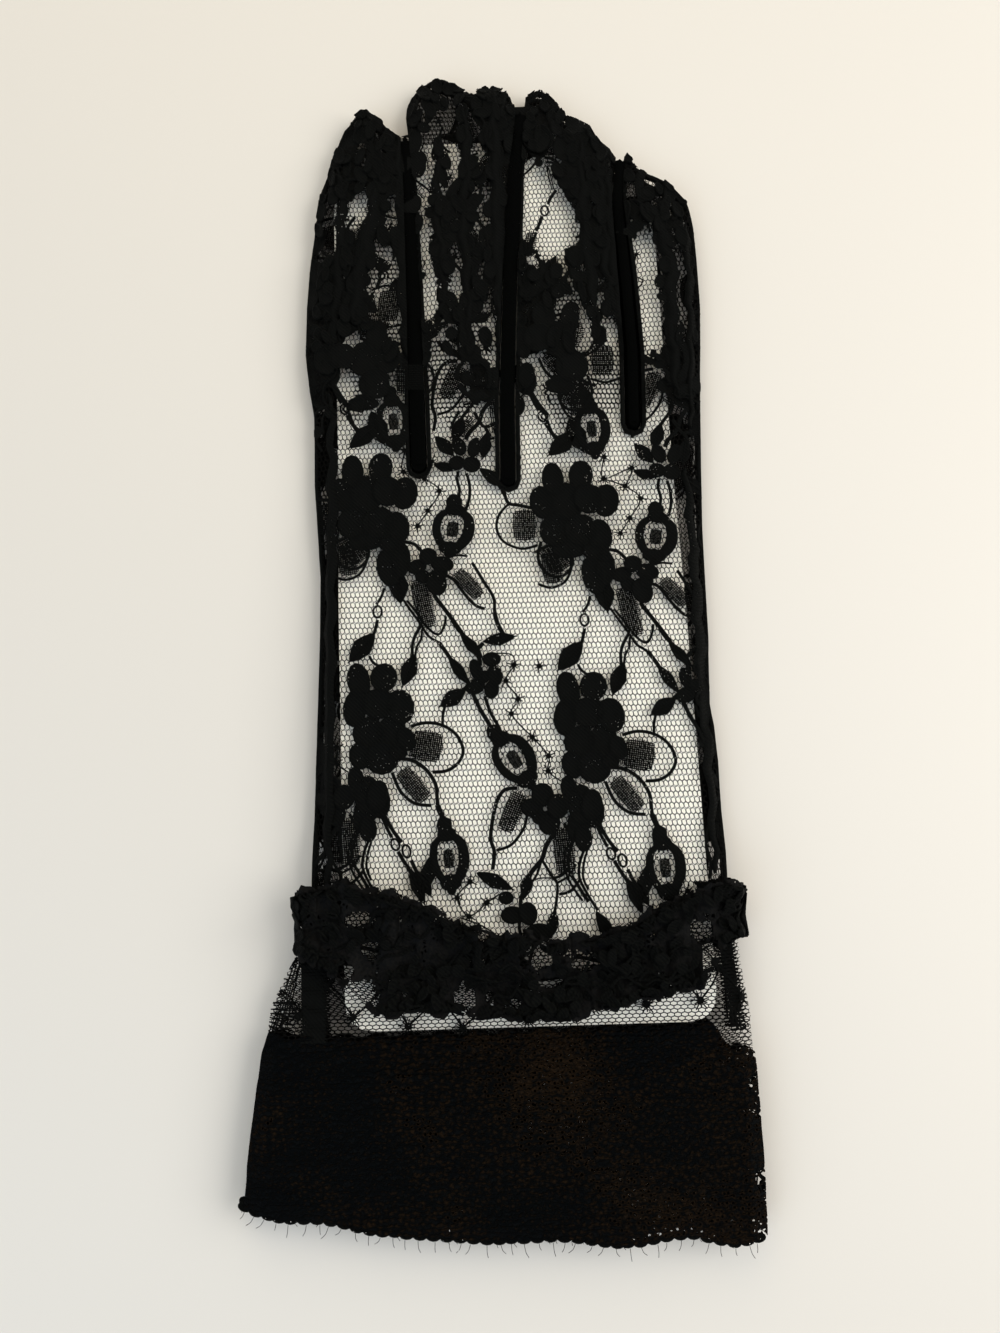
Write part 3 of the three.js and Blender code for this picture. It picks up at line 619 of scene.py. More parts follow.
def one_repeat(mirrored, whole):
    """One repeat of the chart, in metres; only the whole one has what laps over the next."""
    near_end, far_end = REPEAT_ENDS
    bm = bmesh.new()
    for draw, rows in CHART:
        for x, y, wide, high, turn in rows:
            if whole or near_end < y < far_end:
                motif_at(bm, draw, (wide, high), turned_at(x, y, turn))
    for thick, points in STEMS:
        if whole or near_end < sum(y for _, y in points) / len(points) < far_end:
            cord_along(bm, points, thick, STEM_HIGH)
    if mirrored:
        bmesh.ops.scale(bm, verts=bm.verts[:], vec=(-1, 1, 1))
        bmesh.ops.reverse_faces(bm, faces=bm.faces[:])
    to_metres(bm)
    return bm


def lace(skin, columns, rows, mirrored=False, shift=(0, 0, 0), keep=None, rise=0.0):
    """A sheet of lace: the chart repeated over a skin, with net in between."""
    charts = {}
    for whole in (True, False):
        unit = one_repeat(mirrored, whole)
        charts[whole] = bpy.data.meshes.new("chart")
        unit.to_mesh(charts[whole])
        unit.free()
    bm = bmesh.new()
    flip = Matrix.Diagonal((-1 if mirrored else 1, 1, 1, 1))
    for i in columns:
        for j in rows:
            step = flip @ (REPEAT_ACROSS * i + REPEAT_ALONG * j + Vector(shift)) * MM
            chart = charts[j == 0]
            chart.transform(Matrix.Translation(step))
            bm.from_mesh(chart)
            chart.transform(Matrix.Translation(-step))
    for chart in charts.values():
        bpy.data.meshes.remove(chart)
    skin.trim(bm, keep)
    filled = bmesh.new()
    join(filled, bm.copy())
    thin = [face for face in filled.faces if len(face.verts) < 5]
    bmesh.ops.delete(filled, geom=thin, context="FACES")
    cover = BVHTree.FromBMesh(filled)
    filled.free()

    def in_the_open(face):
        if keep and not keep(face):
            return False
        above, down = Vector((0, 0, 1)), Vector((0, 0, -1))
        return any(cover.ray_cast(vert.co + above, down)[0] is None for vert in face.verts)

    ground = net_ground(skin, keep=in_the_open)
    skin.lay(bm, -rise)
    skin.lay(ground, NET_SUNK - rise)
    sheet = bmesh.new()
    join(sheet, bm, 1)
    join(sheet, ground, 0)
    return sheet


def woven(name, sheen=1.0):
    """Thick yarn woven back and forth in ribs, with pinholes of light between them."""
    finish = Finish(name)
    place = finish.place()
    ribs = finish.add(
        "ShaderNodeTexWave",
        {"wave_type": "BANDS", "bands_direction": "DIAGONAL"},
        {"Vector": place, "Scale": 700.0, "Distortion": 2.0, "Detail": 1.0, "Detail Scale": 400.0},
        output="Fac",
    )
    specks = finish.cells(place, 1500.0, feature="F1")
    clouds = finish.noise(place, 220.0, 1.0)
    shine = tuple(part * sheen for part in YARN_SHINE)
    finish.set(
        Base_Color=finish.ramp(ribs, (0.1, YARN_SHADE), (0.95, shine)),
        Roughness=0.5 + ribs * 0.25,
        Alpha=1 - (specks < PINHOLE_SIZE) * (clouds > PINHOLES_FROM),
        Specular_IOR_Level=0.06 * sheen,
    )
    finish.bump(ribs, 0.00012, 0.8)
    return finish


flower_finish = woven("woven_flowers")
WINDOWS = [
    # where a single clear net lies over the card: middle x, y, half its width and half its height
    (-28.2, 100.2, 3.0, 4.2), (-35.6, 93.6, 1.5, 5.6), (-21.8, 73.8, 3.8, 5.8), (-30.2, 62.6, 3.0, 4.0),
    (-13.4, 105.0, 2.0, 7.6), (-14.0, 116.4, 1.0, 4.4), (-11.4, 113.6, 0.8, 3.6), (-13.2, 90.4, 1.7, 7.0),
    (-12.4, 76.0, 2.4, 8.4), (-6.4, 121.0, 1.4, 5.6), (-5.2, 112.0, 1.1, 6.4), (0.4, 119.6, 1.3, 5.0),
    (1.4, 111.0, 1.0, 3.6), (-5.2, 78.2, 1.5, 3.4), (2.0, 102.6, 0.6, 2.0), (2.6, 67.4, 1.2, 2.2),
    (-9.6, 66.4, 1.2, 3.0), (13.2, 103.6, 4.6, 9.8), (18.4, 92.6, 5.4, 8.8), (16.2, 99.0, 5.0, 8.0),
    (11.8, 93.0, 2.4, 4.0), (7.6, 71.0, 0.8, 6.0), (12.9, 83.6, 1.2, 2.2), (38.8, 82.0, 5.6, 8.4),
    (40.8, 72.4, 3.0, 6.4), (41.6, 64.4, 3.2, 5.6), (48.4, 74.4, 1.7, 9.2), (30.2, 81.6, 0.9, 4.2),
    (28.6, 74.0, 0.7, 2.6), (24.6, 65.8, 1.4, 5.4), (31.2, 63.4, 1.6, 3.8), (37.6, 103.2, 1.3, 2.4),
    (42.4, 104.6, 1.8, 1.6), (-20.2, 97.0, 0.7, 4.6), (-21.4, 86.6, 0.9, 2.6), (3.2, 57.0, 1.2, 5.6),
    (-3.4, 54.4, 2.2, 3.4), (-33.0, 52.0, 3.0, 7.0), (12.8, 55.0, 3.6, 5.0), (40.6, 52.4, 2.8, 5.4),
]
WINDOW_STEMS = [
    (0.6, [(9.0, 107.4), (12.2, 108.0), (14.6, 110.5), (15.9, 113.2)]),
    (0.8, [(19.4, 102.6), (18.1, 100.8), (17.2, 98.8)]),
    (0.8, [(15.7, 95.7), (14.9, 93.5), (14.0, 91.8)]),
    (0.5, [(-15.2, 107.4), (-12.6, 104.6), (-10.4, 102.4)]),
    (0.6, [(-26.0, 77.4), (-22.4, 78.6), (-18.6, 77.6)]),
    (0.6, [(-24.4, 68.8), (-21.4, 67.8), (-18.4, 68.8)]),
    (0.3, [(38.2, 85.2), (37.2, 80.6), (39.4, 77.8), (36.6, 75.2), (38.2, 72.6)]),
]
WINDOW_MOTIFS = [
    (ring, 16.4, 97.2, 2.3, 3.2, 0), (crossed, 12.7, 89.4, 3.2, 5.2, -12),
    (crossed, -21.8, 73.4, 5.6, 8.6, -8),
    (star, 38.2, 85.2, 2.0, 2.0, 10), (star, 37.2, 80.6, 2.0, 2.0, 40), (star, 36.6, 75.2, 2.0, 2.0, 70),
]
WINDOWS_FROM = 58


def in_window(x, y, windows, spare=0.0):
    """Whether a place in millimetres is in or near one of the clear windows, with uneven edges."""
    edge = 1 + 0.22 * math.sin(1.9 * x + 0.8 * y) + 0.16 * math.sin(1.1 * y - 2.3 * x)
    return any(
        ((x - a) / (c + spare)) ** 2 + ((y - b) / (d + spare)) ** 2 < edge for a, b, c, d in windows
    )


def out_of_windows(face):
    """Whether the back keeps a face: each hole of its net, and each motif that isn't in a window."""
    x, y, _ = face.calc_center_median() / MM
    return len(face.verts) == 6 or y < WINDOWS_FROM or not in_window(x, y, WINDOWS)


thumb_sheet = lace(Skin("thumb", 1), range(-2, 2), range(-1, 2))
join(thumb_sheet, lace(Skin("thumb", -1), range(-2, 2), range(-1, 2), True, (9, 5, 0)))
for name, node, made, flat, area, held, below in (
    ("back_lace", "back_panel", lace(back, range(-1, 2), range(-1, 2), keep=out_of_windows),
     (0.0949, 0.2182), 0.0174, "laid", "insert_card"),
    ("palm_lace", "palm_panel", lace(palm, range(-2, 2), range(-1, 2), True, (14, 30, 0)),
     (0.0949, 0.2182), 0.0172, "laid", "floor"),
    ("thumb_lace", "thumb", thumb_sheet, (0.0555, 0.0585), None, "folded", "floor"),
):
    sheet = piece(name, made, net_finish, flower_finish)
    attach(sheet, "root")
    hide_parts(node)


# Folds. The finger tubes and the sides of the hand are wider than the card, so their lace lies
# doubled in long flat folds, and is crumpled at the fingertips; clear net shows in between.
FOLDS_FROM = 47
FOLDS = [
    # width, height, then the way it runs
    (2.6, 0.5, [(-35.6, 51.0), (-35.4, 25.0), (-35.6, -3.4), (-35.8, -35.0), (-36.0, -64.0)]),
    (2.8, 0.5, [(46.6, 30.0), (47.0, 8.0), (47.0, -10.5), (47.3, -33.0), (47.0, -62.0)]),
    (3.6, 0.9, [(-19.4, 119.0), (-18.0, 101.5), (-18.0, 80.1), (-17.6, 59.4)]),
    (4.6, 1.0, [(-24.4, 104.0), (-26.4, 92.0), (-29.0, 80.0), (-30.0, 69.0)]),
    (3.2, 0.7, [(-33.0, 108.0), (-33.2, 89.0), (-34.4, 75.4), (-35.4, 62.0)]),
    (2.4, 0.7, [(-8.8, 118.0), (-9.4, 108.0), (-9.6, 95.6), (-8.6, 82.7), (-9.0, 70.0)]),
    (3.0, 0.9, [(-2.4, 126.0), (-2.2, 109.0), (-3.4, 95.6), (-2.8, 79.7), (-2.7, 62.0)]),
    (3.8, 1.0, [(4.8, 129.4), (5.0, 106.2), (4.8, 84.6), (4.9, 60.4)]),
    (3.4, 0.8, [(26.0, 116.0), (25.9, 102.6), (26.4, 83.9), (27.6, 67.5)]),
    (3.6, 0.9, [(32.8, 108.0), (32.4, 94.4), (33.4, 73.2), (34.6, 57.7)]),
    (3.6, 0.9, [(38.4, 99.0), (43.8, 92.0), (45.8, 82.0), (45.4, 66.0), (45.6, 48.0)]),
    (2.2, 0.8, [(50.2, 92.5), (50.6, 83.1), (50.0, 64.8), (48.4, 40.1)]),
    (3.0, 0.8, [(29.8, 112.0), (30.4, 104.0), (29.6, 96.0), (31.0, 88.0), (30.6, 80.0), (32.6, 70.0)]),
]
FOLDS_UP = 0.45 * MM
CRUMPLES = 420
CRUMPLES_ACROSS = (-39, 51)
CRUMPLES_FROM = 58
CRUMPLES_LONG = 76


def in_folds(face):
    """Whether the second layer keeps a face: past its wavy lower edge and out of the windows."""
    x, y, _ = face.calc_center_median() / MM
    edge = FOLDS_FROM + 5 * math.sin(x * 0.21) + 3 * math.sin(x * 0.53 + 1)
    return y > edge and not in_window(x, y, WINDOWS)


fold_mesh = lace(back, range(-2, 2), range(-1, 3), True, (9, 37, 0), in_folds, FOLDS_UP)
ribbons = bmesh.new()
for wide, high, points in FOLDS:
    cord_along(ribbons, points, wide, high, steps=9, rise=0.25, across=6, taper=True)
for vert in ribbons.verts:
    x, y, _ = vert.co
    vert.co.x += 0.45 * math.sin(y * 0.55 + x * 0.3) + 0.25 * math.sin(y * 1.3)
draw = random.Random(5)
placed = 0
while placed < CRUMPLES:
    x = draw.uniform(*CRUMPLES_ACROSS)
    y = CRUMPLES_FROM + CRUMPLES_LONG * draw.random() ** 0.8
    if back.height(x * MM, y * MM) is None or in_window(x, y, WINDOWS, 1.1):
        continue
    sizes = (draw.uniform(1.8, 3.6), draw.uniform(3.0, 6.2))
    stand = (
        Matrix.Translation((x, y, draw.uniform(0.2, 0.9)))
        @ Matrix.Rotation(draw.uniform(-0.5, 0.5), 4, "Z")
        @ Matrix.Rotation(draw.uniform(-0.22, 0.22), 4, "Y")
    )
    motif_at(ribbons, petal, sizes, stand)
    placed += 1
for thick, points in WINDOW_STEMS:
    cord_along(ribbons, points, thick, STEM_HIGH)
for motif, x, y, wide, high, turn in WINDOW_MOTIFS:
    motif_at(ribbons, motif, (wide, high), turned_at(x, y, turn))
to_metres(ribbons)
back.lay(ribbons)
join(fold_mesh, ribbons, 1)
folds = piece("finger_folds", fold_mesh, net_finish, flower_finish)
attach(folds, "root")
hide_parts("back_panel")


# Sewn edges. Where the back meets the palm, all round the hand and the fingers, both nets are
# rolled and overlocked into a thin dark edge about 1 mm wide.
EDGE_THICK = 0.9


def rim_of(node, thick):
    """A band over the cut edge of a CAD sheet, with thickness."""
    bm = solid_of(node)
    flat = [face for face in bm.faces if abs(face.normal.z) > 0.5]
    bmesh.ops.delete(bm, geom=flat, context="FACES")
    bmesh.ops.solidify(bm, geom=bm.faces[:], thickness=thick)
    return bm


edge_finish = woven("overlocked_edge")
for node in ("back_panel", "palm_panel", "thumb"):
    edge = piece(node.split("_")[0] + "_edge", rim_of(node, EDGE_THICK * MM), edge_finish)
    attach(edge, "root")
    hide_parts(node)


# Finger seams. Between the fingers the two sheets are sewn together in a dark raised cord, bound
# with overlock stitches under a flat woven welt; each seam ends round at the crotch.
SEAMS = {
    # width of the welt
    "seam_index_middle": 3.4, "seam_middle_ring": 3.4, "seam_ring_little": 2.4,
}
SEAM_SHEEN = 0.3
WELT_HIGH = 0.35
WELT_BESIDE = 2.2
STITCH_PITCH = 0.95
STITCH_WIDE = 0.75
STITCH_SLANT = math.radians(24)
STITCH_BESIDE = 0.05 * MM
STITCH_OVER = 0.15 * MM
FIRST_STITCH = 1.2 * MM
LAST_STITCH = 0.6 * MM
BESIDE_SEAM = 0.02

seam_finish = woven("seam_yarn", SEAM_SHEEN)
for node, welt_wide in SEAMS.items():
    bm = solid_of(node)
    tree = BVHTree.FromBMesh(bm)
    low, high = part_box(node)
    route, levels = [], []
    y = low.y + FIRST_STITCH
    while y < high.y - LAST_STITCH:
        left, right = (
            tree.ray_cast(Vector((start, y, (low.z + high.z) / 2)), Vector((side, 0, 0)))[0]
            for start, side in ((low.x - BESIDE_SEAM, 1), (high.x + BESIDE_SEAM, -1))
        )
        if left and right:
            middle = (left + right) / 2
            top = tree.ray_cast(Vector((middle.x, y, PROBE)), Vector((0, 0, -1)))[0]
            under = tree.ray_cast(Vector((middle.x, y, -PROBE)), Vector((0, 0, 1)))[0]
            half_wide = (right - left).length / 2 + STITCH_BESIDE
            half_high = (top - under).length / 2 + STITCH_OVER
            loops = []
            for shift in (-STITCH_WIDE / 2, STITCH_WIDE / 2):
                loop = bmesh.ops.create_circle(bm, segments=12, radius=1)
                stand = (
                    Matrix.Translation((middle.x, y + shift * MM, (top.z + under.z) / 2))
                    @ Matrix.Rotation(STITCH_SLANT, 4, "Z")
                    @ Matrix.Diagonal((half_wide, 1, half_high, 1))
                    @ Matrix.Rotation(math.pi / 2, 4, "X")
                )
                bmesh.ops.transform(bm, matrix=stand, verts=loop["verts"])
                loops += {edge for vert in loop["verts"] for edge in vert.link_edges}
            bmesh.ops.bridge_loops(bm, edges=loops)
            beside = [back.height(middle.x + side * WELT_BESIDE * MM, y) or top.z for side in (-1, 0, 1)]
            route.append((middle.x / MM, y / MM))
            levels.append(max([top.z, *beside]))
        y += STITCH_PITCH * MM
    welt = bmesh.new()
    oval(welt, *route[0], welt_wide, welt_wide, rise=0.1)
    cord_along(welt, route, welt_wide, WELT_HIGH, steps=1, across=6)
    for vert in welt.verts:
        nearest = min(range(len(route)), key=lambda i: abs(route[i][1] - vert.co.y))
        near = levels[max(nearest - 2, 0):nearest + 3]
        vert.co.z += sum(near) / len(near) / MM
    to_metres(welt)
    join(bm, welt)
    seam = piece(node + "_stitches", bm, seam_finish)
    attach(seam, "root")
    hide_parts(node)


# Cuff. A flared ring of lace: under the gather a net band with woven dots joined by a thin
# lattice, then a dense band in wavy ribs, ending at the hem in small scallops and thread ends.
DENSE_TOP = [(-54, -91.5), (-44, -92.8), (-33, -93.6), (44, -92.6), (48, -97.6), (54, -98.4)]
DENSE_HIGHEST = -91.5 * MM
NET_LAPS = 1.2 * MM
CUFF_HOLE = (1.45, 0.75)
CUFF_THREAD = 0.2
DOTS = [
    (-53.6, -88.0), (-42.2, -88.6), (-30.7, -89.2), (-19.2, -91.3), (-7.8, -92.0), (5.8, -90.8),
    (19.4, -88.4), (30.7, -88.4), (42.0, -87.9), (50.8, -87.5),
]
DOT_WIDE = 3.3
DOT_SPOKES = 11
DOT_ROWS = 3
DOT_RISE = 6.2
DOT_REACH = 8
LATTICE_WIDE = 0.36
NET_FOLDS = [
    # net that lies in layers beside the card: middle x, y, width, height, turn, pitch, thread
    (-38.9, -82.0, 5.4, 25.0, 0, 0.62, 0.44), (-39.3, -82.0, 4.4, 25.0, 3, 0.75, 0.5),
    (-46.6, -82.4, 9.0, 21.0, -14, 1.25, 0.36), (48.8, -83.0, 3.4, 23.0, 4, 0.7, 0.46),
]
SCALLOP_PITCH = 2.7
SCALLOP_HIGH = 2.0
HEM_STEP = 3.4 * MM
STRAIGHT_HALF = 0.046
BAND_WAVER = 0.5 * MM
RIB_HIGH = 0.25 * MM
OPEN_FROM = 0.0508
OPEN_PATCHES = 0.5
OPEN_THREAD = 0.13
BAND_PINHOLE = 0.25
# The dense band's colour runs from a painted bluish reflection through black to brown, which stands for the
# pale table showing through the lace; pinholes open only where that mask is high.
BAND_PINHOLES_FROM = 0.53
BAND_REFLECTION_BLUE = (0.0005, 0.0011, 0.0015)
BAND_BLACK = (0.0008, 0.0008, 0.0007)
BAND_BROWN = (0.0125, 0.0068, 0.0026)


def dense_line(x):
    """Where the dense band starts, at a place across the cuff."""
    x = max(min(x / MM, 53.9), -53.9)
    for (a, low), (b, high) in zip(DENSE_TOP, DENSE_TOP[1:]):
        if a <= x <= b:
            return (low + (high - low) * (x - a) / (b - a)) * MM


def in_net_band(face):
    """Whether a face of the cuff lies in the net, or just under the dense band's edge."""
    x, y, _ = face.calc_center_median()
    return y > dense_line(x) - NET_LAPS


cuff_mesh = bmesh.new()
for side in (1, -1):
    cuff = Skin("cuff", side)
    layer = net_ground(cuff, *CUFF_HOLE, 0.0, CUFF_THREAD, in_net_band)
    cuff.lay(layer, NET_SUNK)
    dots = bmesh.new()
    row = DOTS
    for _ in range(DOT_ROWS):
        above = [((a + b) / 2, (c + d) / 2 + DOT_RISE) for (a, c), (b, d) in zip(row, row[1:])]
        for x, y in row:
            motif_at(dots, star, (DOT_WIDE, DOT_WIDE, DOT_SPOKES), Matrix.Translation((x, y, 0.05)))
            for end in above:
                if abs(end[0] - x) < DOT_REACH:
                    mid = ((x + end[0]) / 2 + 0.5, (y + end[1]) / 2)
                    cord_along(dots, [(x, y), mid, end], LATTICE_WIDE, 0.08, 6)
        row = above
    for x, y, wide, high, turn, pitch, thick in NET_FOLDS:
        motif_at(dots, crossed, (wide, high, pitch, thick, 0.0), turned_at(x, y, turn))
    to_metres(dots)
    cuff.trim(dots, in_net_band)
    cuff.lay(dots)
    join(cuff_mesh, layer, 0)
    join(cuff_mesh, dots, 1)

cuff_low, cuff_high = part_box("cuff")
cuff_middle = (cuff_low.z + cuff_high.z) / 2
band_mesh = solid_of("cuff")
inner_faces = []
for face in band_mesh.faces:
    centre = face.calc_center_median()
    heart = Vector((max(min(centre.x, STRAIGHT_HALF), -STRAIGHT_HALF), centre.y, cuff_middle))
    if abs(face.normal.y) > 0.8 or face.normal.dot(centre - heart) < 0:
        inner_faces.append(face)
bmesh.ops.delete(band_mesh, geom=inner_faces, context="FACES")
bmesh.ops.bisect_plane(
    band_mesh,
    geom=band_mesh.verts[:] + band_mesh.edges[:] + band_mesh.faces[:],
    dist=1e-7,
    plane_co=(0, DENSE_HIGHEST, 0),
    plane_no=(0, 1, 0),
    clear_outer=True,
)
bmesh.ops.subdivide_edges(band_mesh, edges=band_mesh.edges[:], cuts=3, use_grid_fill=True)
for vert in band_mesh.verts:
    vert.co.y = min(vert.co.y, dense_line(vert.co.x) + BAND_WAVER * math.sin(vert.co.x * 900))
    x, y = vert.co.x / MM, vert.co.y / MM
    wave = RIB_HIGH * (1 + math.sin(y * 0.9 + 1.3 * math.sin(x * 0.11)))
    vert.co.z += wave if vert.co.z > cuff_middle else 0.1 * MM - 0.4 * wave

band_finish = Finish("dense_band")
band_place = band_finish.place()
band_wander = band_finish.noise(band_place, 38.0, 4.0)
band_across = band_finish.add("ShaderNodeSeparateXYZ", None, {"Vector": band_place}, output="X")
# Mask for the band's colour: low gives the painted bluish reflection, high gives the brown of the table
# showing through, more so towards +x, and there the pinholes open.
band_reflection_to_showthrough = band_wander + band_across * 1.2
band_ribs = band_finish.add(
    "ShaderNodeTexWave",
    {"wave_type": "BANDS", "bands_direction": "Y"},
    {"Vector": band_place, "Scale": 300.0, "Distortion": 7.0, "Detail": 2.0, "Detail Scale": 2.5},
    output="Fac",
)
band_holes = band_finish.cells(band_place, 900.0, feature="F1", voronoi_dimensions="2D")
band_threads = band_finish.cells(band_place, 620.0, feature="DISTANCE_TO_EDGE", voronoi_dimensions="2D")
band_patches = band_finish.noise(band_place, 150.0, 2.0, noise_dimensions="2D")
band_open = (band_across > OPEN_FROM) * (band_patches > OPEN_PATCHES) * (band_threads > OPEN_THREAD)
# The ribs add faint painted highlights along their crests; round each pinhole the colour goes towards the
# brown showing through.
band_colour = band_finish.ramp(
    band_reflection_to_showthrough * 0.85 + band_ribs * 0.1 + (0.35 - band_holes) * 0.34,
    (0.32, BAND_REFLECTION_BLUE), (0.44, BAND_BLACK), (0.62, BAND_BROWN),
)
band_pinholes = (band_holes < BAND_PINHOLE) * (band_reflection_to_showthrough > BAND_PINHOLES_FROM) * (band_ribs > 0.3)
band_finish.set(
    Base_Color=band_colour,
    Roughness=0.6 + band_ribs * 0.2,
    Alpha=(1 - band_pinholes) * (1 - band_open),
    Specular_IOR_Level=0.05,
)
band_finish.bump(band_ribs, 0.0006, 1.0)
join(cuff_mesh, band_mesh, 2)
cuff_lace = piece("cuff_lace", cuff_mesh, net_finish, flower_finish, band_finish)

rim_points = {}
cuff_solid = bmesh.new()
cuff_solid.from_mesh(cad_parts["cuff"].data)
for face in cuff_solid.faces:
    if face.normal.y < -0.8:
        for vert in face.verts:
            side = 1 if vert.co.z > cuff_middle else -1
            rim_points[(side, round(vert.co.x / MM, 1))] = vert.co.copy()
cuff_solid.free()


def hem_route(side):
    """The hem from left to right, along the upper or the lower layer's outer edge."""
    route = sorted((p for (s, _), p in rim_points.items() if s == side), key=lambda p: p.x)
    outer = {}
    for point in route:
        key = round(point.x / HEM_STEP)
        if key not in outer or side * point.z > side * outer[key].z:
            outer[key] = point
    return sorted(outer.values(), key=lambda p: p.x)


def walk(route, pitch):
    """Places at an even pitch along a route, with the way it goes there."""
    left = 0.0
    for a, b in zip(route, route[1:]):
        long = (b - a).length
        while left < long:
            yield a.lerp(b, left / long), (b - a).normalized()
            left += pitch
        left -= long


random.seed(7)
picot_mesh = bmesh.new()
for side in (1, -1):
    for point, way in walk(hem_route(side), SCALLOP_PITCH * MM):
        loop = bmesh.new()
        oval(loop, 0, 0.1, SCALLOP_PITCH * 1.15, SCALLOP_HIGH, sides=12)
        bend = random.uniform(-1.2, 1.2)
        long = random.uniform(1.2, 2.6)
        start = random.uniform(-0.6, 0.6)
        thread = [(start, -0.9), (start + bend * 0.3, -0.9 - long * 0.6), (start + bend, -0.9 - long)]
        cord_along(loop, thread, 0.1, 0.06)
        bmesh.ops.scale(loop, verts=loop.verts[:], vec=(MM, MM, MM * side))
        turn = Matrix.Rotation(math.atan2(way.y, way.x), 4, "Z")
        stand = Matrix.Translation(point + Vector((0, 0, -0.4 * MM * side))) @ turn
        bmesh.ops.transform(loop, matrix=stand, verts=loop.verts[:])
        join(picot_mesh, loop)
cuff_picots = piece("hem_picots", picot_mesh, edge_finish)

for made in (cuff_lace, cuff_picots):
    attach(made, "root")
    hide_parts("cuff")


# Frill. The head of the cuff, a strip of the same lace gathered on the seam round the wrist, so
# that it stands in crowded folds above and below the stitching, with frayed and corded edges.
FRILL_LAYERS = [
    # folds, depth of fold, height over the seam, edge wander, seed
    (17, 0.9, 0.2, 1.2, 3),
    (11, 1.3, 0.9, 1.6, 11),
]
FRILL_ROWS = 30
FRILL_STEPS = 18
FRILL_ENDS = 0.6 * MM
FRILL_EDGES = (-0.065, -0.077)
FRILL_THREAD = 0.22
FRILL_SHADE = (0.0008, 0.001, 0.0012)
FRILL_SHINE = (0.007, 0.0065, 0.0055)
FRILL_SUNK = 0.6
FRILL_UNDER = 0.25
LOBES_UP = 0.4 * MM
REACH_STEP = 0.8 * MM
EDGE_CLEAR = 0.5 * MM
NET_ROUND = 0.6
SEAM_SHARE = 0.42
HEAD_SHARE = 0.58
FRILL_OPEN = 0.2
FRILL_WORN = 0.58
FRILL_WINDOWS = [
    # clear net between the gathers: middle x, y and half its width and height
    (-29.0, -69.2, 3.0, 1.6), (-26.6, -75.6, 2.2, 2.1), (-31.8, -79.6, 1.8, 2.1), (-28.5, -84.2, 4.2, 2.6),
    (-7.0, -85.6, 2.2, 2.8), (-1.8, -85.8, 0.9, 1.4), (5.6, -78.2, 1.2, 1.8), (8.8, -77.8, 2.4, 2.6),
    (18.0, -79.2, 2.8, 2.0), (11.0, -83.2, 2.6, 1.1), (42.6, -73.6, 2.4, 2.4), (44.4, -79.4, 2.0, 4.2),
    (2.8, -87.2, 1.3, 1.4), (14.6, -77.0, 0.9, 0.7), (-19.6, -84.6, 0.6, 0.5), (-3.0, -73.4, 1.2, 0.8),
]
FRILL_LOBES = 330
FRILL_CORDS = 70
FRILL_HAIRS = 26

frill_skins = {1: Skin("frill", 1), -1: Skin("frill", -1)}
frill_low, frill_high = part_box("frill")


def frill_reach(skin, x):
    """The frill's upper and lower edge at a place across the wrist."""
    hits = []
    y = skin.low.y
    while y < skin.high.y:
        if skin.height(x, y) is not None:
            hits.append(y)
        y += REACH_STEP
    return (hits[-1], hits[0]) if hits else None


frill_mesh = bmesh.new()
for side in (1, -1):
    skin = frill_skins[side]
    reach = {}
    for folds, depth, over, wander, seed in FRILL_LAYERS:
        draw = random.Random(seed * 10 + side)
        phases = [draw.uniform(0, math.tau) for _ in range(6)]
        columns = folds * FRILL_STEPS
        grid = bmesh.new()
        bmesh.ops.create_grid(grid, x_segments=columns, y_segments=FRILL_ROWS, size=1)
        for i, vert in enumerate(grid.verts):
            row, column = divmod(i, columns + 1)
            u = column / columns
            share = row / FRILL_ROWS
            swing = 0.02 * (share - 0.4) * math.sin(math.tau * 3 * u + phases[4])
            bent = u + 0.012 * math.sin(math.tau * 5 * u + phases[0]) + swing
            ripple = 0.35 * math.sin(math.tau * folds * 2.7 * bent + phases[5])
            fold = math.sin(math.tau * folds * bent) + ripple
            loose = abs(share - SEAM_SHARE) / HEAD_SHARE
            x = frill_low.x + FRILL_ENDS + (frill_high.x - frill_low.x - 2 * FRILL_ENDS) * u
            x += 0.7 * MM * loose * math.sin(math.tau * folds * u * 2 + phases[1])
            key = round(x / MM)
            if key not in reach:
                reach[key] = frill_reach(skin, key * MM) or reach.get(key - 1) or FRILL_EDGES
            upper, lower = reach[key]
            ragged = wander * (
                0.4 * math.sin(math.tau * 7 * u + phases[2])
                + 0.7 * abs(math.sin(math.tau * 10 * u + phases[3]))
                + 0.25 * abs(math.sin(math.tau * 41 * u))
            )
            y = lower + (upper - lower) * share + ragged * (share - SEAM_SHARE) * 1.6 * MM
            z = skin.height(x, min(max(y, lower + EDGE_CLEAR), upper - EDGE_CLEAR))
            if z is None:
                z = (frill_low.z + frill_high.z) / 2
            lift = over + depth * (0.35 + 0.65 * loose) * (0.5 + 0.5 * fold)
            lift *= 1 if side > 0 else FRILL_UNDER
            vert.co = Vector((x, y, z + side * (lift - FRILL_SUNK) * MM))
        if side < 0:
            bmesh.ops.reverse_faces(grid, faces=grid.faces[:])
        opened = []
        for face in grid.faces:
            x, y, _ = face.calc_center_median() / MM
            if in_window(x, y, FRILL_WINDOWS):
                opened.append(face)
        bmesh.ops.delete(grid, geom=opened, context="FACES")
        join(frill_mesh, grid)


def place_on_frill(draw):
    """A place on the upper side of the frill, in millimetres, that isn't in a window."""
    while True:
        x = draw.uniform(frill_low.x, frill_high.x) / MM
        upper, lower = frill_reach(frill_skins[1], x * MM) or (0, 0)
        if upper > lower:
            y = draw.uniform(lower / MM - 0.4, upper / MM + 0.4)
            if not in_window(x, y, FRILL_WINDOWS, 1.0):
                return x, y, lower / MM, upper / MM


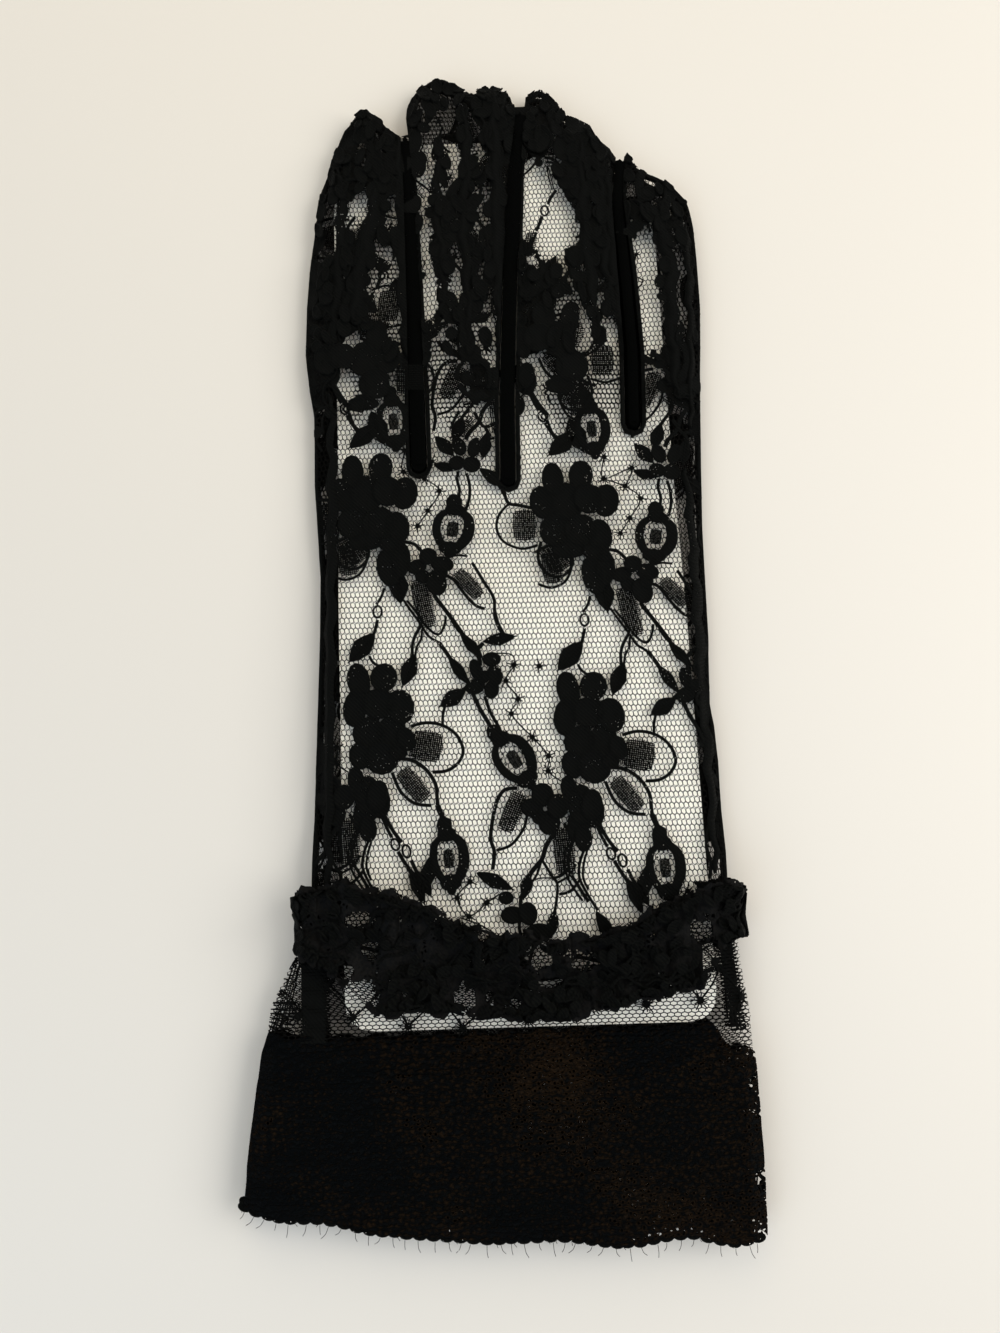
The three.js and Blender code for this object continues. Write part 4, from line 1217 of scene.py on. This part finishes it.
draw = random.Random(17)
lobes = bmesh.new()
for i in range(FRILL_LOBES):
    x, y, lower, upper = place_on_frill(draw)
    if i % 3 == 0:
        y = draw.choice((lower + draw.uniform(-0.2, 0.8), upper + draw.uniform(-0.8, 0.3)))
    sizes = (draw.uniform(1.4, 3.0), draw.uniform(1.8, 4.2))
    stand = (
        Matrix.Translation((x, y, draw.uniform(0.6, 2.2)))
        @ Matrix.Rotation(draw.uniform(-1.4, 1.4), 4, "Z")
        @ Matrix.Rotation(draw.uniform(-0.5, 0.5), 4, "Y")
    )
    motif_at(lobes, petal, sizes, stand)
for _ in range(FRILL_CORDS):
    x, y, lower, upper = place_on_frill(draw)
    turn, bend = draw.uniform(-0.7, 0.7), draw.uniform(-1.5, 1.5)
    route = [
        (x + s * math.cos(turn), y + s * math.sin(turn) + bend * math.sin(s)) for s in (-4, -2, 0, 2, 4)
    ]
    cord_along(lobes, route, draw.uniform(0.4, 0.8), 0.3, rise=draw.uniform(0.8, 2.2))
for i in range(FRILL_HAIRS):
    x = draw.choice((frill_low.x / MM + draw.uniform(0, 3.0), draw.uniform(-36, 46)))
    upper, lower = frill_reach(frill_skins[1], x * MM) or FRILL_EDGES
    y = upper / MM if i % 2 else draw.uniform(lower, upper) / MM
    sway = draw.uniform(-1.4, 0.4)
    hair = [(x, y - 0.6), (x + sway * 0.5, y + 0.5), (x + sway, y + draw.uniform(1.0, 2.2))]
    cord_along(lobes, hair, 0.12, 0.05)
to_metres(lobes)
frill_skins[1].lay(lobes, -LOBES_UP)


def in_frill_window(face):
    """Whether a hole of the clear net lies in or just round one of the frill's windows."""
    x, y, _ = face.calc_center_median() / MM
    return in_window(x, y, [(a, b, c + NET_ROUND, d + NET_ROUND) for a, b, c, d in FRILL_WINDOWS])


frill_net_mesh = net_ground(frill_skins[1], *CUFF_HOLE, 0.0, FRILL_THREAD, in_frill_window)
frill_skins[1].lay(frill_net_mesh, -NET_SUNK)

frill_finish = Finish("gathered_lace")
frill_place = frill_finish.place()
frill_clouds = frill_finish.noise(frill_place, 210.0, 3.0)
frill_net = frill_finish.cells(frill_place, 1000.0, feature="DISTANCE_TO_EDGE")
frill_yarn = frill_finish.noise(frill_place, 1400.0, 2.0)
frill_finish.set(
    Base_Color=frill_finish.ramp(frill_yarn, (0.3, FRILL_SHADE), (0.8, FRILL_SHINE)),
    Specular_IOR_Level=0.08,
    Roughness=0.5 + frill_yarn * 0.25,
    Alpha=1 - (frill_net > FRILL_OPEN) * (frill_clouds > FRILL_WORN),
)
frill_finish.bump(frill_clouds + frill_yarn * 0.2, 0.0012, 1.0)
join(frill_mesh, lobes, 1)
join(frill_mesh, frill_net_mesh, 2)
frill = piece("frill_folds", frill_mesh, frill_finish, flower_finish, net_finish)
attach(frill, "root")
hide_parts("frill")
